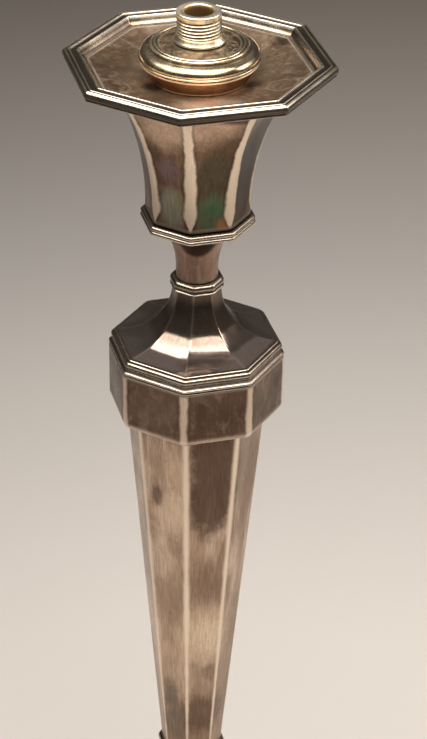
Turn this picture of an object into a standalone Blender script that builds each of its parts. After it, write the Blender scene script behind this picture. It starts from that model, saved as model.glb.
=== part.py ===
# Octagonal silver-plated candlestick with a loose drip pan and a screwed lamp adaptor.
#
# The stick is a stack of plated sheet sections on one axis, loaded with pitch and drawn together
# by a threaded tube.  The drip pan lifts out of the capital, and the lamp adaptor pulls out of
# the candle socket.  +Z is up and the baize under the foot rests on Z = 0.
# Octagonal sizes are corner radii; two flats face +X and -X.

import math

import bmesh
import bpy

MM = 0.001

# Sheet, clearances and facets
WALL = 0.9 * MM                     # plated sheet
GAP = 0.3 * MM                      # between two pieces that touch or slide
FLATS = 8                           # sides of the stick
ROUND_STEPS = 32                    # facets of a turned piece, a multiple of FLATS
NUT_STEPS = 24                      # facets of a nut's bore, a multiple of six
CURVE_STEPS = 8                     # straight runs in each swept outline
CAPITAL_STEPS = 12                  # and in the capital, which is the longest of them
SHOULDER_STEPS = 4                  # and in the adaptor cap's round shoulder
SHARP_ANGLE = math.radians(35)      # edges flatter than this are shaded smooth
BEAD = 0.8 * MM                     # how far a moulding's edges are rounded

# Foot
PAD_THICKNESS = 1.2 * MM
PAD_INSET = 1.5 * MM
FOOT_CORNER = 59.5 * MM
BORDER_WIDTH = 4.5 * MM
BORDER_HEIGHT = 4.5 * MM
PLINTH_HEIGHT = 17.0 * MM
PLINTH_BEVEL = 0.8 * MM
STEP_WIDTH = 3.2 * MM
DOME_RISE = 6.0 * MM
DOME_POWER = 1.3
DOME_TOP_CORNER = 33.5 * MM
FOOT_RING_CORNER = 35.4 * MM
FOOT_RING_WIDTH = 5.4 * MM
FOOT_RING_HEIGHT = 3.7 * MM
FLARE_CORNER = 32.5 * MM
FLARE_TOP_CORNER = 9.8 * MM
FLARE_HEIGHT = 37.4 * MM
FLARE_POWER = 2.2
LOWER_COLLAR_CORNER = 11.3 * MM
LOWER_COLLAR_HEIGHT = 3.8 * MM

# Column and knop
COLUMN_FOOT_CORNER = 10.05 * MM
COLUMN_LENGTH = 133.7 * MM
SOFFIT_THICKNESS = 1.0 * MM
SOFFIT_RECESS = 0.4 * MM
BAND_CORNER = 26.6 * MM
SOFFIT_LEDGE = 5.0 * MM             # the band stands this far out from the column's top
BAND_HEIGHT = 18.1 * MM
BAND_EDGE = 0.7 * MM
KNOP_MOULDING_HEIGHT = 4.8 * MM
KNOP_MOULDING_WIDTH = 4.7 * MM
CANOPY_SET_IN = 2.6 * MM            # inside the band's corners
CANOPY_TOP_CORNER = 7.5 * MM
CANOPY_HEIGHT = 16.6 * MM

# Neck and capital
NECK_COLLAR_CORNER = 8.3 * MM
NECK_COLLAR_HEIGHT = 3.3 * MM
NECK_WALL = 0.8 * MM                # over the tie tube, at the waist
NECK_TOP = 10.8 * MM
NECK_HEIGHT = 17.6 * MM
NECK_POWER = 2.6
CAPITAL_MOULDING_OVERHANG = 1.4 * MM
CAPITAL_MOULDING_HEIGHT = 3.1 * MM
SOCKET_ROOM = 1.3 * MM              # between the candle socket and the capital's foot
CAPITAL_MOUTH_CORNER = 28.0 * MM
CAPITAL_HEIGHT = 43.3 * MM
CAPITAL_POWER = 2.25
FLOOR_THICKNESS = 1.0 * MM
LIP_WIDTH = 1.8 * MM
LIP_HEIGHT = 2.5 * MM

# Tie tube and its fasteners
TUBE_RADIUS = 5.0 * MM
TUBE_BORE = 4.0 * MM
TUBE_PROUD = 1.9 * MM
NUT_CORNER = 8.1 * MM
NUT_HEIGHT = 4.5 * MM
WASHER_RADIUS = 9.5 * MM
WASHER_THICKNESS = 1.0 * MM
PLATE_THICKNESS = 1.0 * MM
PLATE_BELOW_PLINTH_TOP = 2.5 * MM

# Cord bush in the back of the plinth
BUSH_HEIGHT = 10.5 * MM
BUSH_RADIUS = 3.7 * MM
BUSH_BORE = 3.0 * MM
BUSH_FLANGE = 4.3 * MM
BUSH_FLANGE_THICKNESS = 1.4 * MM
BUSH_INSIDE = 4.0 * MM
BUSH_NUT_CORNER = 5.0 * MM
BUSH_NUT_THICKNESS = 2.0 * MM

# Loose nozzle: drip pan, border, candle socket
PAN_CORNER = 38.8 * MM
PAN_BORDER_WIDTH = 6.8 * MM
PAN_BORDER_DEPTH = 3.3 * MM
PAN_DEPTH = 6.0 * MM
PAN_SLOPE = 0.193
PAN_RIDGE_OUTER = 1.9 * MM          # the border's two ridges, in from its corner
PAN_RIDGE_INNER = 4.6 * MM
PAN_GROOVE_DEPTH = 0.5 * MM
PAN_GROOVE_SIDE = 0.9 * MM
PAN_EDGE_ROUND = 1.2 * MM
PAN_EDGE_FOOT = 1.0 * MM
SOCKET_BORE = 11.3 * MM
SOCKET_BELOW_PAN = 30.0 * MM
MOUTH_STEP = 1.4 * MM               # the mouth's foot, outside the socket tube
MOUTH_FLARE = 3.0 * MM
MOUTH_HEIGHT = 5.3 * MM

# Lamp adaptor: cap, threaded nipple, cork plug
CAP_OVERHANG = 0.55 * MM            # over the socket mouth's rim
CAP_SHOULDER_WIDTH = 3.25 * MM
CAP_RING_WIDTH = 1.3 * MM
CAP_HEIGHT = 5.0 * MM
CAP_EDGE = 0.3 * MM                 # the upright edge under the round shoulder
CAP_SHOULDER_HEIGHT = 3.5 * MM
CAP_RING_RISE = 1.3 * MM
THREAD_RADIUS = 6.35 * MM
SKIRT_FLARE = 1.05 * MM
SKIRT_HEIGHT = 2.0 * MM
THREAD_LENGTH = 6.7 * MM
CROWN_BEVEL = 0.4 * MM
STEM_RADIUS = 5.0 * MM
NIPPLE_BORE = 4.0 * MM
STEM_PROUD = 1.4 * MM
PLUG_LENGTH = 20.0 * MM
PLUG_BELOW_CAP = 7.0 * MM
PLUG_BEVEL = 1.2 * MM
PLUG_WASHER_INSET = 1.5 * MM        # inside the plug's edge
NIPPLE_NUT_HEIGHT = 4.0 * MM

FLAT_SHARE = math.cos(math.pi / FLATS)          # a flat's distance over its corner radius

# Holes that take the tie tube or the nipple's stem
TUBE_HOLE = TUBE_RADIUS + GAP
STEM_HOLE = STEM_RADIUS + GAP

# Radii that follow from the piece beside or inside
COLUMN_TOP_CORNER = BAND_CORNER - SOFFIT_LEDGE
CANOPY_CORNER = BAND_CORNER - CANOPY_SET_IN
NECK_WAIST = TUBE_HOLE + NECK_WALL
SOCKET_RADIUS = SOCKET_BORE + WALL
CAPITAL_FOOT_CORNER = (SOCKET_RADIUS + SOCKET_ROOM + WALL) / FLAT_SHARE
CAPITAL_MOULDING_CORNER = CAPITAL_FOOT_CORNER + CAPITAL_MOULDING_OVERHANG
MOUTH_FOOT_RADIUS = SOCKET_RADIUS + MOUTH_STEP
MOUTH_RIM_RADIUS = MOUTH_FOOT_RADIUS + MOUTH_FLARE
CAP_RADIUS = MOUTH_RIM_RADIUS + CAP_OVERHANG
CAP_RING_RADIUS = CAP_RADIUS - CAP_SHOULDER_WIDTH
CAP_PLATE_RADIUS = CAP_RING_RADIUS - CAP_RING_WIDTH
SKIRT_RADIUS = THREAD_RADIUS + SKIRT_FLARE
PLUG_RADIUS = SOCKET_BORE - GAP

# Heights, each standing on the piece below it
FOOT_Z = PAD_THICKNESS + GAP
PLINTH_TOP_Z = FOOT_Z + PLINTH_HEIGHT
DOME_TOP_Z = PLINTH_TOP_Z + PLINTH_BEVEL + DOME_RISE
FOOT_RING_Z = DOME_TOP_Z + GAP
FLARE_Z = FOOT_RING_Z + FOOT_RING_HEIGHT + GAP
LOWER_COLLAR_Z = FLARE_Z + FLARE_HEIGHT + GAP
COLUMN_Z = LOWER_COLLAR_Z + LOWER_COLLAR_HEIGHT + GAP
SOFFIT_Z = COLUMN_Z + COLUMN_LENGTH + GAP
BAND_Z = SOFFIT_Z - SOFFIT_RECESS
KNOP_MOULDING_Z = BAND_Z + BAND_HEIGHT + GAP
CANOPY_Z = KNOP_MOULDING_Z + KNOP_MOULDING_HEIGHT + GAP
NECK_COLLAR_Z = CANOPY_Z + CANOPY_HEIGHT + GAP
NECK_Z = NECK_COLLAR_Z + NECK_COLLAR_HEIGHT + GAP
CAPITAL_MOULDING_Z = NECK_Z + NECK_HEIGHT + GAP
CAPITAL_Z = CAPITAL_MOULDING_Z + CAPITAL_MOULDING_HEIGHT + GAP
CAPITAL_TOP_Z = CAPITAL_Z + CAPITAL_HEIGHT
FLOOR_Z = CAPITAL_Z + GAP
PLATE_Z = PLINTH_TOP_Z - PLATE_BELOW_PLINTH_TOP

# The pan's sloping sheet rests on the capital's mouth, and its floor follows from the slope
PAN_SHEET_CORNER = PAN_CORNER - PAN_BORDER_WIDTH - GAP
PAN_UNDER_Z = CAPITAL_TOP_Z + GAP - PAN_SLOPE * (CAPITAL_MOUTH_CORNER - MOUTH_FOOT_RADIUS)
PAN_FLOOR_Z = PAN_UNDER_Z + WALL
RIDGE_Z = PAN_FLOOR_Z + PAN_DEPTH
SOCKET_Z = PAN_FLOOR_Z - SOCKET_BELOW_PAN
MOUTH_Z = PAN_FLOOR_Z + GAP
CAP_Z = MOUTH_Z + MOUTH_HEIGHT + GAP
PLUG_TOP_Z = CAP_Z - PLUG_BELOW_CAP
PLUG_Z = PLUG_TOP_Z - PLUG_LENGTH


def clear_scene():
    for old in list(bpy.data.objects):
        bpy.data.objects.remove(old, do_unlink=True)


def finish(name, colour, roughness, metallic):
    material = bpy.data.materials.get(name) or bpy.data.materials.new(name)
    material.use_nodes = True
    shader = material.node_tree.nodes["Principled BSDF"]
    shader.inputs["Base Color"].default_value = (*colour, 1.0)
    shader.inputs["Roughness"].default_value = roughness
    shader.inputs["Metallic"].default_value = metallic
    return material


def silver():
    return finish("tarnished_silver", (0.42, 0.36, 0.31), 0.28, 1.0)


def brass():
    return finish("worn_brass", (0.66, 0.56, 0.38), 0.30, 1.0)


def steel():
    return finish("zinc_steel", (0.45, 0.45, 0.44), 0.45, 1.0)


def pitch():
    return finish("loading_pitch", (0.09, 0.07, 0.055), 0.85, 0.0)


def cork():
    return finish("cork", (0.50, 0.34, 0.20), 0.9, 0.0)


def baize():
    return finish("green_baize", (0.05, 0.16, 0.09), 0.95, 0.0)


def rounded(radius, height):
    """A point of an outline that is round in plan, where the others are octagonal."""
    return (radius, height, True)


def plan_radius(size, angle, is_round, flats):
    """Distance from the axis at this angle, for a circle or a polygon of this corner radius."""
    if is_round:
        return size
    half = math.pi / flats
    first_corner = half if flats == FLATS else 0.0
    local = (angle - first_corner) % (2 * half) - half
    return size * math.cos(half) / math.cos(local)


def turned(name, outline, material, height=0.0, parent=None, flats=FLATS):
    """One closed body swept round the Z axis from a closed outline of (radius, height) points."""
    is_round = [len(point) == 3 for point in outline]
    if flats != FLATS:
        steps, first = NUT_STEPS, 0.0
    elif any(is_round):
        steps, first = ROUND_STEPS, 0.0
    else:
        steps, first = FLATS, math.pi / FLATS
    angles = [first + 2 * math.pi * k / steps for k in range(steps)]

    model = bmesh.new()
    rings = []
    for point, circle in zip(outline, is_round):
        ring = []
        for angle in angles:
            reach = plan_radius(point[0], angle, circle, flats)
            ring.append(model.verts.new((reach * math.cos(angle), reach * math.sin(angle), point[1])))
        rings.append(ring)
    for here, above in zip(rings, rings[1:] + rings[:1]):
        for k in range(steps):
            after = (k + 1) % steps
            model.faces.new((here[k], here[after], above[after], above[k]))
    bmesh.ops.recalc_face_normals(model, faces=model.faces)
    return as_object(name, model, material, height, parent, any(is_round))


def as_object(name, model, material, height, parent, smooth):
    mesh = bpy.data.meshes.new(name)
    model.to_mesh(mesh)
    model.free()
    mesh.materials.append(material)
    if smooth:
        mesh.shade_smooth()
        mesh.set_sharp_from_angle(angle=SHARP_ANGLE)
    piece = bpy.data.objects.new(name, mesh)
    bpy.context.scene.collection.objects.link(piece)
    piece.parent = parent
    below = parent.location.z if parent else 0.0
    piece.location = (0.0, 0.0, height - below)
    return piece


def axis_empty(name, height):
    """The guide that a lift-out group hangs from, on the axis of its slide."""
    guide = bpy.data.objects.new(name, None)
    bpy.context.scene.collection.objects.link(guide)
    guide.location = (0.0, 0.0, height)
    return guide


def swept(low, high, rise, power, count=CURVE_STEPS):
    """Outline of a concave sweep: corner radius low at the foot, high at the top.
    The radius leaves its smaller end slowly, by a power of the distance from it."""
    points = []
    for k in range(count + 1):
        t = k / count
        if high > low:
            radius = low + (high - low) * t ** power
        else:
            radius = high + (low - high) * (1 - t) ** power
        points.append((radius, rise * t))
    return points


def inside(line, depth, share=FLAT_SHARE):
    """The line that lies this deep inside a bottom-to-top outer line, ending at the same heights."""
    flat = [(radius * share, height) for radius, height in line]
    normals = []
    for (r0, z0), (r1, z1) in zip(flat, flat[1:]):
        length = math.hypot(r1 - r0, z1 - z0)
        normals.append(((z1 - z0) / length, (r0 - r1) / length))
    result = []
    for k, (radius, height) in enumerate(flat):
        if k in (0, len(flat) - 1):
            out = normals[0] if k == 0 else normals[-1]
            result.append(((radius - depth / out[0]) / share, height))
            continue
        before, after = normals[k - 1], normals[k]
        reach = depth / (1 + before[0] * after[0] + before[1] * after[1])
        result.append((
            (radius - reach * (before[0] + after[0])) / share,
            height - reach * (before[1] + after[1]),
        ))
    return result


def sheet(name, line, material, height, parent=None):
    """A section of plated sheet, WALL thick, under an outer line that runs bottom to top."""
    return turned(name, line + inside(line, WALL)[::-1], material, height, parent)


def ring_outline(outer, inner, thickness):
    """A flat ring with corners outside and a round hole."""
    return [(outer, 0.0), (outer, thickness), rounded(inner, thickness), rounded(inner, 0.0)]


def round_ring(outer, inner, thickness):
    return [rounded(*p) for p in ((outer, 0.0), (outer, thickness), (inner, thickness), (inner, 0.0))]


def nut(name, corner, hole, thickness, material, height, parent=None):
    outline = ring_outline(corner, hole, thickness)
    return turned(name, outline, material, height, parent, flats=6)


# ---- Foot ----

def foot_line():
    """Outer line of the foot's pressed sheet: plinth wall, bevelled edge, step and low dome."""
    plinth = FOOT_CORNER - BORDER_WIDTH
    step = plinth - STEP_WIDTH
    line = [
        (plinth, 0.0),
        (plinth, PLINTH_HEIGHT - PLINTH_BEVEL),
        (plinth - PLINTH_BEVEL, PLINTH_HEIGHT),
        (step, PLINTH_HEIGHT + PLINTH_BEVEL),
    ]
    for radius, rise in swept(step, DOME_TOP_CORNER, DOME_RISE, DOME_POWER)[1:]:
        line.append((radius, PLINTH_HEIGHT + PLINTH_BEVEL + rise))
    return line


def flare_line():
    return swept(FLARE_CORNER, FLARE_TOP_CORNER, FLARE_HEIGHT, FLARE_POWER)


def baize_pad():
    outer = FOOT_CORNER - PAD_INSET
    model = bmesh.new()
    corners = []
    for k in range(FLATS):
        angle = math.pi * (2 * k + 1) / FLATS
        corners.append(model.verts.new((outer * math.cos(angle), outer * math.sin(angle), 0.0)))
    face = model.faces.new(corners)
    raised = bmesh.ops.extrude_face_region(model, geom=[face])["geom"]
    top = [part for part in raised if isinstance(part, bmesh.types.BMVert)]
    bmesh.ops.translate(model, verts=top, vec=(0.0, 0.0, PAD_THICKNESS))
    bmesh.ops.recalc_face_normals(model, faces=model.faces)
    as_object("baize_pad", model, baize(), 0.0, None, False)


def foot():
    plinth = FOOT_CORNER - BORDER_WIDTH
    edge = BORDER_HEIGHT / 3
    border = [
        (plinth + GAP / FLAT_SHARE, 0.0),
        (FOOT_CORNER - edge, 0.0),
        (FOOT_CORNER, edge),
        (FOOT_CORNER, 2 * edge),
        (FOOT_CORNER - edge, BORDER_HEIGHT),
        (plinth + GAP / FLAT_SHARE, BORDER_HEIGHT),
    ]
    turned("base_border", border, silver(), FOOT_Z)
    shell = sheet("base_shell", foot_line(), silver(), FOOT_Z)
    cut_bush_hole(shell)

    inner = FOOT_RING_CORNER - FOOT_RING_WIDTH
    ring = [
        (inner, 0.0),
        (FOOT_RING_CORNER - BEAD, 0.0),
        (FOOT_RING_CORNER, BEAD),
        (FOOT_RING_CORNER - BEAD, 2 * BEAD),
        (FOOT_RING_CORNER - BEAD, FOOT_RING_HEIGHT - BEAD / 2),
        (FLARE_CORNER, FOOT_RING_HEIGHT),
        (inner, FOOT_RING_HEIGHT),
    ]
    turned("foot_ring", ring, silver(), FOOT_RING_Z)
    sheet("foot_flare", flare_line(), silver(), FLARE_Z)

    step = LOWER_COLLAR_HEIGHT / 5
    collar = [
        rounded(TUBE_HOLE, 0.0),
        (FLARE_TOP_CORNER, 0.0),
        (LOWER_COLLAR_CORNER, step),
        (LOWER_COLLAR_CORNER, 4 * step),
        (LOWER_COLLAR_CORNER - step, LOWER_COLLAR_HEIGHT),
        rounded(TUBE_HOLE, LOWER_COLLAR_HEIGHT),
    ]
    turned("lower_collar", collar, silver(), LOWER_COLLAR_Z)


def cut_bush_hole(shell):
    """The hole for the cord bush, through the back flat of the plinth."""
    wall = (FOOT_CORNER - BORDER_WIDTH) * FLAT_SHARE
    radius = BUSH_RADIUS + GAP
    model = bmesh.new()
    bmesh.ops.create_cone(model, cap_ends=True, segments=ROUND_STEPS,
                          radius1=radius, radius2=radius, depth=8 * WALL)
    cutter = as_object("bush_cutter", model, steel(), 0.0, None, False)
    cutter.rotation_euler = (math.pi / 2, 0.0, 0.0)
    cutter.location = (0.0, wall - WALL / 2, BUSH_HEIGHT)
    cutter.hide_render = True
    cutter.display_type = "WIRE"
    cut = shell.modifiers.new("bush hole", "BOOLEAN")
    cut.object = cutter
    cut.operation = "DIFFERENCE"


def cord_bush():
    """A flanged bush and its locknut; their axis runs out through the back of the plinth."""
    wall = (FOOT_CORNER - BORDER_WIDTH) * FLAT_SHARE
    length = WALL + 2 * GAP + BUSH_INSIDE
    outline = [rounded(*point) for point in (
        (BUSH_BORE, 0.0),
        (BUSH_BORE, length + BUSH_FLANGE_THICKNESS),
        (BUSH_FLANGE, length + BUSH_FLANGE_THICKNESS),
        (BUSH_FLANGE, length),
        (BUSH_RADIUS, length),
        (BUSH_RADIUS, 0.0),
    )]
    bush = turned("cord_bush", outline, brass())
    bush.rotation_euler = (-math.pi / 2, 0.0, 0.0)
    bush.location = (0.0, wall + GAP - length, BUSH_HEIGHT)
    lock = nut("cord_bush_nut", BUSH_NUT_CORNER, BUSH_RADIUS + GAP, BUSH_NUT_THICKNESS, brass(), 0.0)
    lock.rotation_euler = (-math.pi / 2, 0.0, 0.0)
    lock.location = (0.0, wall - WALL - GAP - BUSH_NUT_THICKNESS, BUSH_HEIGHT)


# ---- Loading inside the stick ----

def base_loading():
    """Pitch above the base plate: under the dome, through the foot ring and up the flare."""
    depth = WALL + GAP
    bottom = PLATE_Z + PLATE_THICKNESS + GAP
    dome = [(r, z + FOOT_Z) for r, z in inside(foot_line(), depth)]
    dome = [(dome[1][0], bottom)] + [point for point in dome if point[1] > bottom]
    throat = FOOT_RING_CORNER - FOOT_RING_WIDTH - GAP / FLAT_SHARE
    flare = [(min(r, throat), z + FLARE_Z) for r, z in inside(flare_line(), depth)]
    entry = [(throat, dome[-1][1]), (throat, FLARE_Z - GAP)]
    top = flare[-1][1]
    outline = dome + entry + flare + [rounded(TUBE_HOLE, top), rounded(TUBE_HOLE, bottom)]
    turned("base_loading", [shifted(point, -bottom) for point in outline], pitch(), bottom)


def shifted(point, rise):
    return (point[0], point[1] + rise) + point[2:]


def column_line():
    return [(COLUMN_FOOT_CORNER, 0.0), (COLUMN_TOP_CORNER, COLUMN_LENGTH)]


def column_loading():
    fill = inside(column_line(), WALL + GAP)
    outline = fill + [rounded(TUBE_HOLE, COLUMN_LENGTH), rounded(TUBE_HOLE, 0.0)]
    turned("column_loading", outline, pitch(), COLUMN_Z)


def knop_loading():
    """Pitch above the soffit: in the band, through the knop moulding and up the canopy."""
    bottom = SOFFIT_Z + SOFFIT_THICKNESS + GAP
    throat = BAND_CORNER - KNOP_MOULDING_WIDTH - GAP / FLAT_SHARE
    canopy = [(min(r, throat), z + CANOPY_Z) for r, z in inside(canopy_line(), WALL + GAP)]
    outline = [(throat, bottom), (throat, CANOPY_Z - GAP)] + canopy
    outline += [rounded(TUBE_HOLE, canopy[-1][1]), rounded(TUBE_HOLE, bottom)]
    turned("knop_loading", [shifted(point, -bottom) for point in outline], pitch(), bottom)


# ---- Column and knop ----

def canopy_line():
    """A quarter-round cove, level where it meets the knop moulding and upright at the collar."""
    line = []
    for k in range(CURVE_STEPS + 1):
        angle = math.pi / 2 * k / CURVE_STEPS
        radius = CANOPY_CORNER - (CANOPY_CORNER - CANOPY_TOP_CORNER) * math.sin(angle)
        line.append((radius, CANOPY_HEIGHT * (1 - math.cos(angle))))
    return line


def column_and_knop():
    sheet("column_shell", column_line(), silver(), COLUMN_Z)
    band_inner = BAND_CORNER - (WALL + GAP) / FLAT_SHARE
    soffit = ring_outline(band_inner, TUBE_HOLE, SOFFIT_THICKNESS)
    turned("knop_soffit", soffit, silver(), SOFFIT_Z)
    band = [
        (BAND_CORNER - BAND_EDGE, 0.0),
        (BAND_CORNER, 3 * BAND_EDGE),
        (BAND_CORNER, BAND_HEIGHT - BAND_EDGE),
        (BAND_CORNER - BAND_EDGE / 2, BAND_HEIGHT),
    ]
    inner = BAND_CORNER - WALL / FLAT_SHARE
    band += [(inner, BAND_HEIGHT), (inner, 0.0)]
    turned("knop_band", band, silver(), BAND_Z)

    inner = BAND_CORNER - KNOP_MOULDING_WIDTH
    top = KNOP_MOULDING_HEIGHT
    moulding = [
        (inner, 0.0),
        (BAND_CORNER - BEAD, 0.0),
        (BAND_CORNER, BEAD / 2),
        (BAND_CORNER, 3 * BEAD / 2),
        (BAND_CORNER - BEAD, 5 * BEAD / 2),
        (BAND_CORNER - BEAD, top - BEAD),
        (CANOPY_CORNER + BEAD, top - BEAD / 4),
        (CANOPY_CORNER, top),
        (inner, top),
    ]
    turned("knop_moulding", moulding, silver(), KNOP_MOULDING_Z)
    sheet("shoulder_canopy", canopy_line(), silver(), CANOPY_Z)


# ---- Neck and capital ----

def capital_line():
    return swept(CAPITAL_FOOT_CORNER, CAPITAL_MOUTH_CORNER, CAPITAL_HEIGHT, CAPITAL_POWER, CAPITAL_STEPS)


def neck_and_capital():
    third = NECK_COLLAR_HEIGHT / 3
    collar = [
        rounded(TUBE_HOLE, 0.0),
        (CANOPY_TOP_CORNER, 0.0),
        (NECK_COLLAR_CORNER, third),
        (NECK_COLLAR_CORNER, 2 * third),
        (NECK_COLLAR_CORNER - third, NECK_COLLAR_HEIGHT),
        rounded(TUBE_HOLE, NECK_COLLAR_HEIGHT),
    ]
    turned("neck_collar", collar, silver(), NECK_COLLAR_Z)

    line = swept(NECK_WAIST, NECK_TOP, NECK_HEIGHT, NECK_POWER)
    bore = [(max(radius, TUBE_HOLE), height) for radius, height in inside(line, WALL, 1.0)]
    neck = [rounded(*point) for point in line + bore[::-1]]
    turned("neck", neck, silver(), NECK_Z)

    top = CAPITAL_MOULDING_HEIGHT
    moulding = [
        rounded(TUBE_HOLE, 0.0),
        rounded(NECK_TOP, 0.0),
        (CAPITAL_MOULDING_CORNER - BEAD, BEAD / 2),
        (CAPITAL_MOULDING_CORNER, 3 * BEAD / 2),
        (CAPITAL_MOULDING_CORNER, top - BEAD),
        (CAPITAL_MOULDING_CORNER - BEAD, top),
        rounded(TUBE_HOLE, top),
    ]
    turned("capital_base_moulding", moulding, silver(), CAPITAL_MOULDING_Z)
    sheet("capital_shell", capital_line(), silver(), CAPITAL_Z)

    floor = CAPITAL_FOOT_CORNER - (WALL + GAP) / FLAT_SHARE
    turned("capital_floor", ring_outline(floor, TUBE_HOLE, FLOOR_THICKNESS), steel(), FLOOR_Z)

    inner = CAPITAL_MOUTH_CORNER + GAP / FLAT_SHARE
    edge = LIP_WIDTH / 3
    lip = [
        (inner, 0.0),
        (inner + LIP_WIDTH - edge, 0.0),
        (inner + LIP_WIDTH, edge),
        (inner + LIP_WIDTH, LIP_HEIGHT - edge),
        (inner + LIP_WIDTH - edge, LIP_HEIGHT),
        (inner, LIP_HEIGHT),
    ]
    turned("capital_lip", lip, silver(), CAPITAL_TOP_Z - LIP_HEIGHT)


# ---- Tie tube ----

def tie_tube():
    """The hollow threaded tube that draws the stick together and carries the flex."""
    plinth = FOOT_CORNER - BORDER_WIDTH
    plate = ring_outline(plinth - (WALL + GAP) / FLAT_SHARE, TUBE_HOLE, PLATE_THICKNESS)
    turned("base_plate", plate, steel(), PLATE_Z)

    washer_z = PLATE_Z - GAP - WASHER_THICKNESS
    nut_z = washer_z - GAP - NUT_HEIGHT
    tube_z = nut_z - TUBE_PROUD
    washer = round_ring(WASHER_RADIUS, TUBE_HOLE, WASHER_THICKNESS)
    turned("lower_washer", washer, steel(), washer_z)
    nut("lower_nut", NUT_CORNER, TUBE_HOLE, NUT_HEIGHT, brass(), nut_z)

    top_washer_z = FLOOR_Z + FLOOR_THICKNESS + GAP
    top_nut_z = top_washer_z + WASHER_THICKNESS + GAP
    turned("upper_washer", washer, steel(), top_washer_z)
    nut("upper_nut", NUT_CORNER, TUBE_HOLE, NUT_HEIGHT, brass(), top_nut_z)

    length = top_nut_z + NUT_HEIGHT + TUBE_PROUD - tube_z
    turned("tie_tube", round_ring(TUBE_RADIUS, TUBE_BORE, length), steel(), tube_z)


# ---- Loose nozzle ----

def nozzle():
    """Drip pan with its border, and the candle socket that hangs in the capital."""
    guide = axis_empty("nozzle_axis", PAN_UNDER_Z)
    rise = PAN_SLOPE * (PAN_SHEET_CORNER - MOUTH_FOOT_RADIUS)
    hole = SOCKET_RADIUS + GAP
    pan = [
        rounded(hole, 0.0),
        rounded(MOUTH_FOOT_RADIUS, 0.0),
        (PAN_SHEET_CORNER, rise),
        (PAN_SHEET_CORNER, rise + WALL),
        rounded(MOUTH_FOOT_RADIUS, WALL),
        rounded(hole, WALL),
    ]
    turned("drip_pan", pan, silver(), PAN_UNDER_Z, guide)

    inner = PAN_CORNER - PAN_BORDER_WIDTH
    depth = PAN_BORDER_DEPTH
    border = [
        (inner, 0.0),
        (PAN_CORNER - PAN_EDGE_ROUND, 0.0),
        (PAN_CORNER, PAN_EDGE_FOOT),
        (PAN_CORNER, depth - PAN_EDGE_ROUND),
        (PAN_CORNER - PAN_RIDGE_OUTER, depth),
        (PAN_CORNER - PAN_RIDGE_OUTER - PAN_GROOVE_SIDE, depth - PAN_GROOVE_DEPTH),
        (PAN_CORNER - PAN_RIDGE_INNER + PAN_GROOVE_SIDE, depth - PAN_GROOVE_DEPTH),
        (PAN_CORNER - PAN_RIDGE_INNER, depth),
        (inner, PAN_EDGE_FOOT),
    ]
    turned("pan_border", border, silver(), RIDGE_Z - depth, guide)

    bottom, top = 0.0, PAN_FLOOR_Z + GAP - SOCKET_Z
    socket = [rounded(*point) for point in (
        (STEM_HOLE, bottom),
        (SOCKET_RADIUS, bottom),
        (SOCKET_RADIUS, top),
        (SOCKET_BORE, top),
        (SOCKET_BORE, WALL),
        (STEM_HOLE, WALL),
    )]
    turned("candle_socket", socket, silver(), SOCKET_Z, guide)

    line = [(MOUTH_FOOT_RADIUS, 0.0), (MOUTH_RIM_RADIUS, MOUTH_HEIGHT)]
    mouth = [rounded(*point) for point in line + inside(line, WALL, 1.0)[::-1]]
    turned("socket_mouth", mouth, silver(), MOUTH_Z, guide)
    return guide


# ---- Lamp adaptor ----

def shoulder_line():
    """The cap's convex shoulder, from its upright edge up to the foot of the ring."""
    line = []
    for k in range(SHOULDER_STEPS + 1):
        angle = math.pi / 2 * k / SHOULDER_STEPS
        line.append((
            CAP_RING_RADIUS + CAP_SHOULDER_WIDTH * math.cos(angle),
            CAP_EDGE + (CAP_SHOULDER_HEIGHT - CAP_EDGE) * math.sin(angle),
        ))
    return line


def adaptor():
    """Cap, nipple and cork plug, drawn together by the nut under the plug."""
    guide = axis_empty("adaptor_axis", CAP_Z)
    ring_top = CAP_SHOULDER_HEIGHT + CAP_RING_RISE
    cap = [(STEM_HOLE, 0.0), (CAP_RADIUS - CAP_EDGE, 0.0)] + shoulder_line() + [
        (CAP_RING_RADIUS, ring_top - CAP_RING_WIDTH / 2),
        (CAP_RING_RADIUS - CAP_RING_WIDTH / 2, ring_top),
        (CAP_PLATE_RADIUS, ring_top - CAP_RING_WIDTH / 2),
        (SKIRT_RADIUS, CAP_HEIGHT),
        (STEM_HOLE, CAP_HEIGHT),
    ]
    turned("adaptor_cap", [rounded(*point) for point in cap], brass(), CAP_Z, guide)

    plug = [rounded(*point) for point in (
        (STEM_HOLE, 0.0),
        (PLUG_RADIUS - PLUG_BEVEL, 0.0),
        (PLUG_RADIUS, PLUG_BEVEL),
        (PLUG_RADIUS, PLUG_LENGTH),
        (STEM_HOLE, PLUG_LENGTH),
    )]
    turned("adaptor_plug", plug, cork(), PLUG_Z, guide)
    washer_z = PLUG_Z - GAP - WASHER_THICKNESS
    nut_z = washer_z - GAP - NIPPLE_NUT_HEIGHT
    washer = round_ring(PLUG_RADIUS - PLUG_WASHER_INSET, STEM_HOLE, WASHER_THICKNESS)
    turned("plug_washer", washer, steel(), washer_z, guide)
    nut("nipple_nut", NUT_CORNER, STEM_HOLE, NIPPLE_NUT_HEIGHT, brass(), nut_z, guide)

    bottom = nut_z - STEM_PROUD
    flange = CAP_Z + CAP_HEIGHT + GAP - bottom
    crown = flange + SKIRT_HEIGHT + THREAD_LENGTH
    nipple = [rounded(*point) for point in (
        (NIPPLE_BORE, 0.0),
        (STEM_RADIUS, 0.0),
        (STEM_RADIUS, flange),
        (SKIRT_RADIUS, flange),
        (THREAD_RADIUS, flange + SKIRT_HEIGHT),
        (THREAD_RADIUS, crown - CROWN_BEVEL),
        (THREAD_RADIUS - CROWN_BEVEL, crown),
        (NIPPLE_BORE, crown),
    )]
    turned("lamp_nipple", nipple, brass(), bottom, guide)


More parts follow.
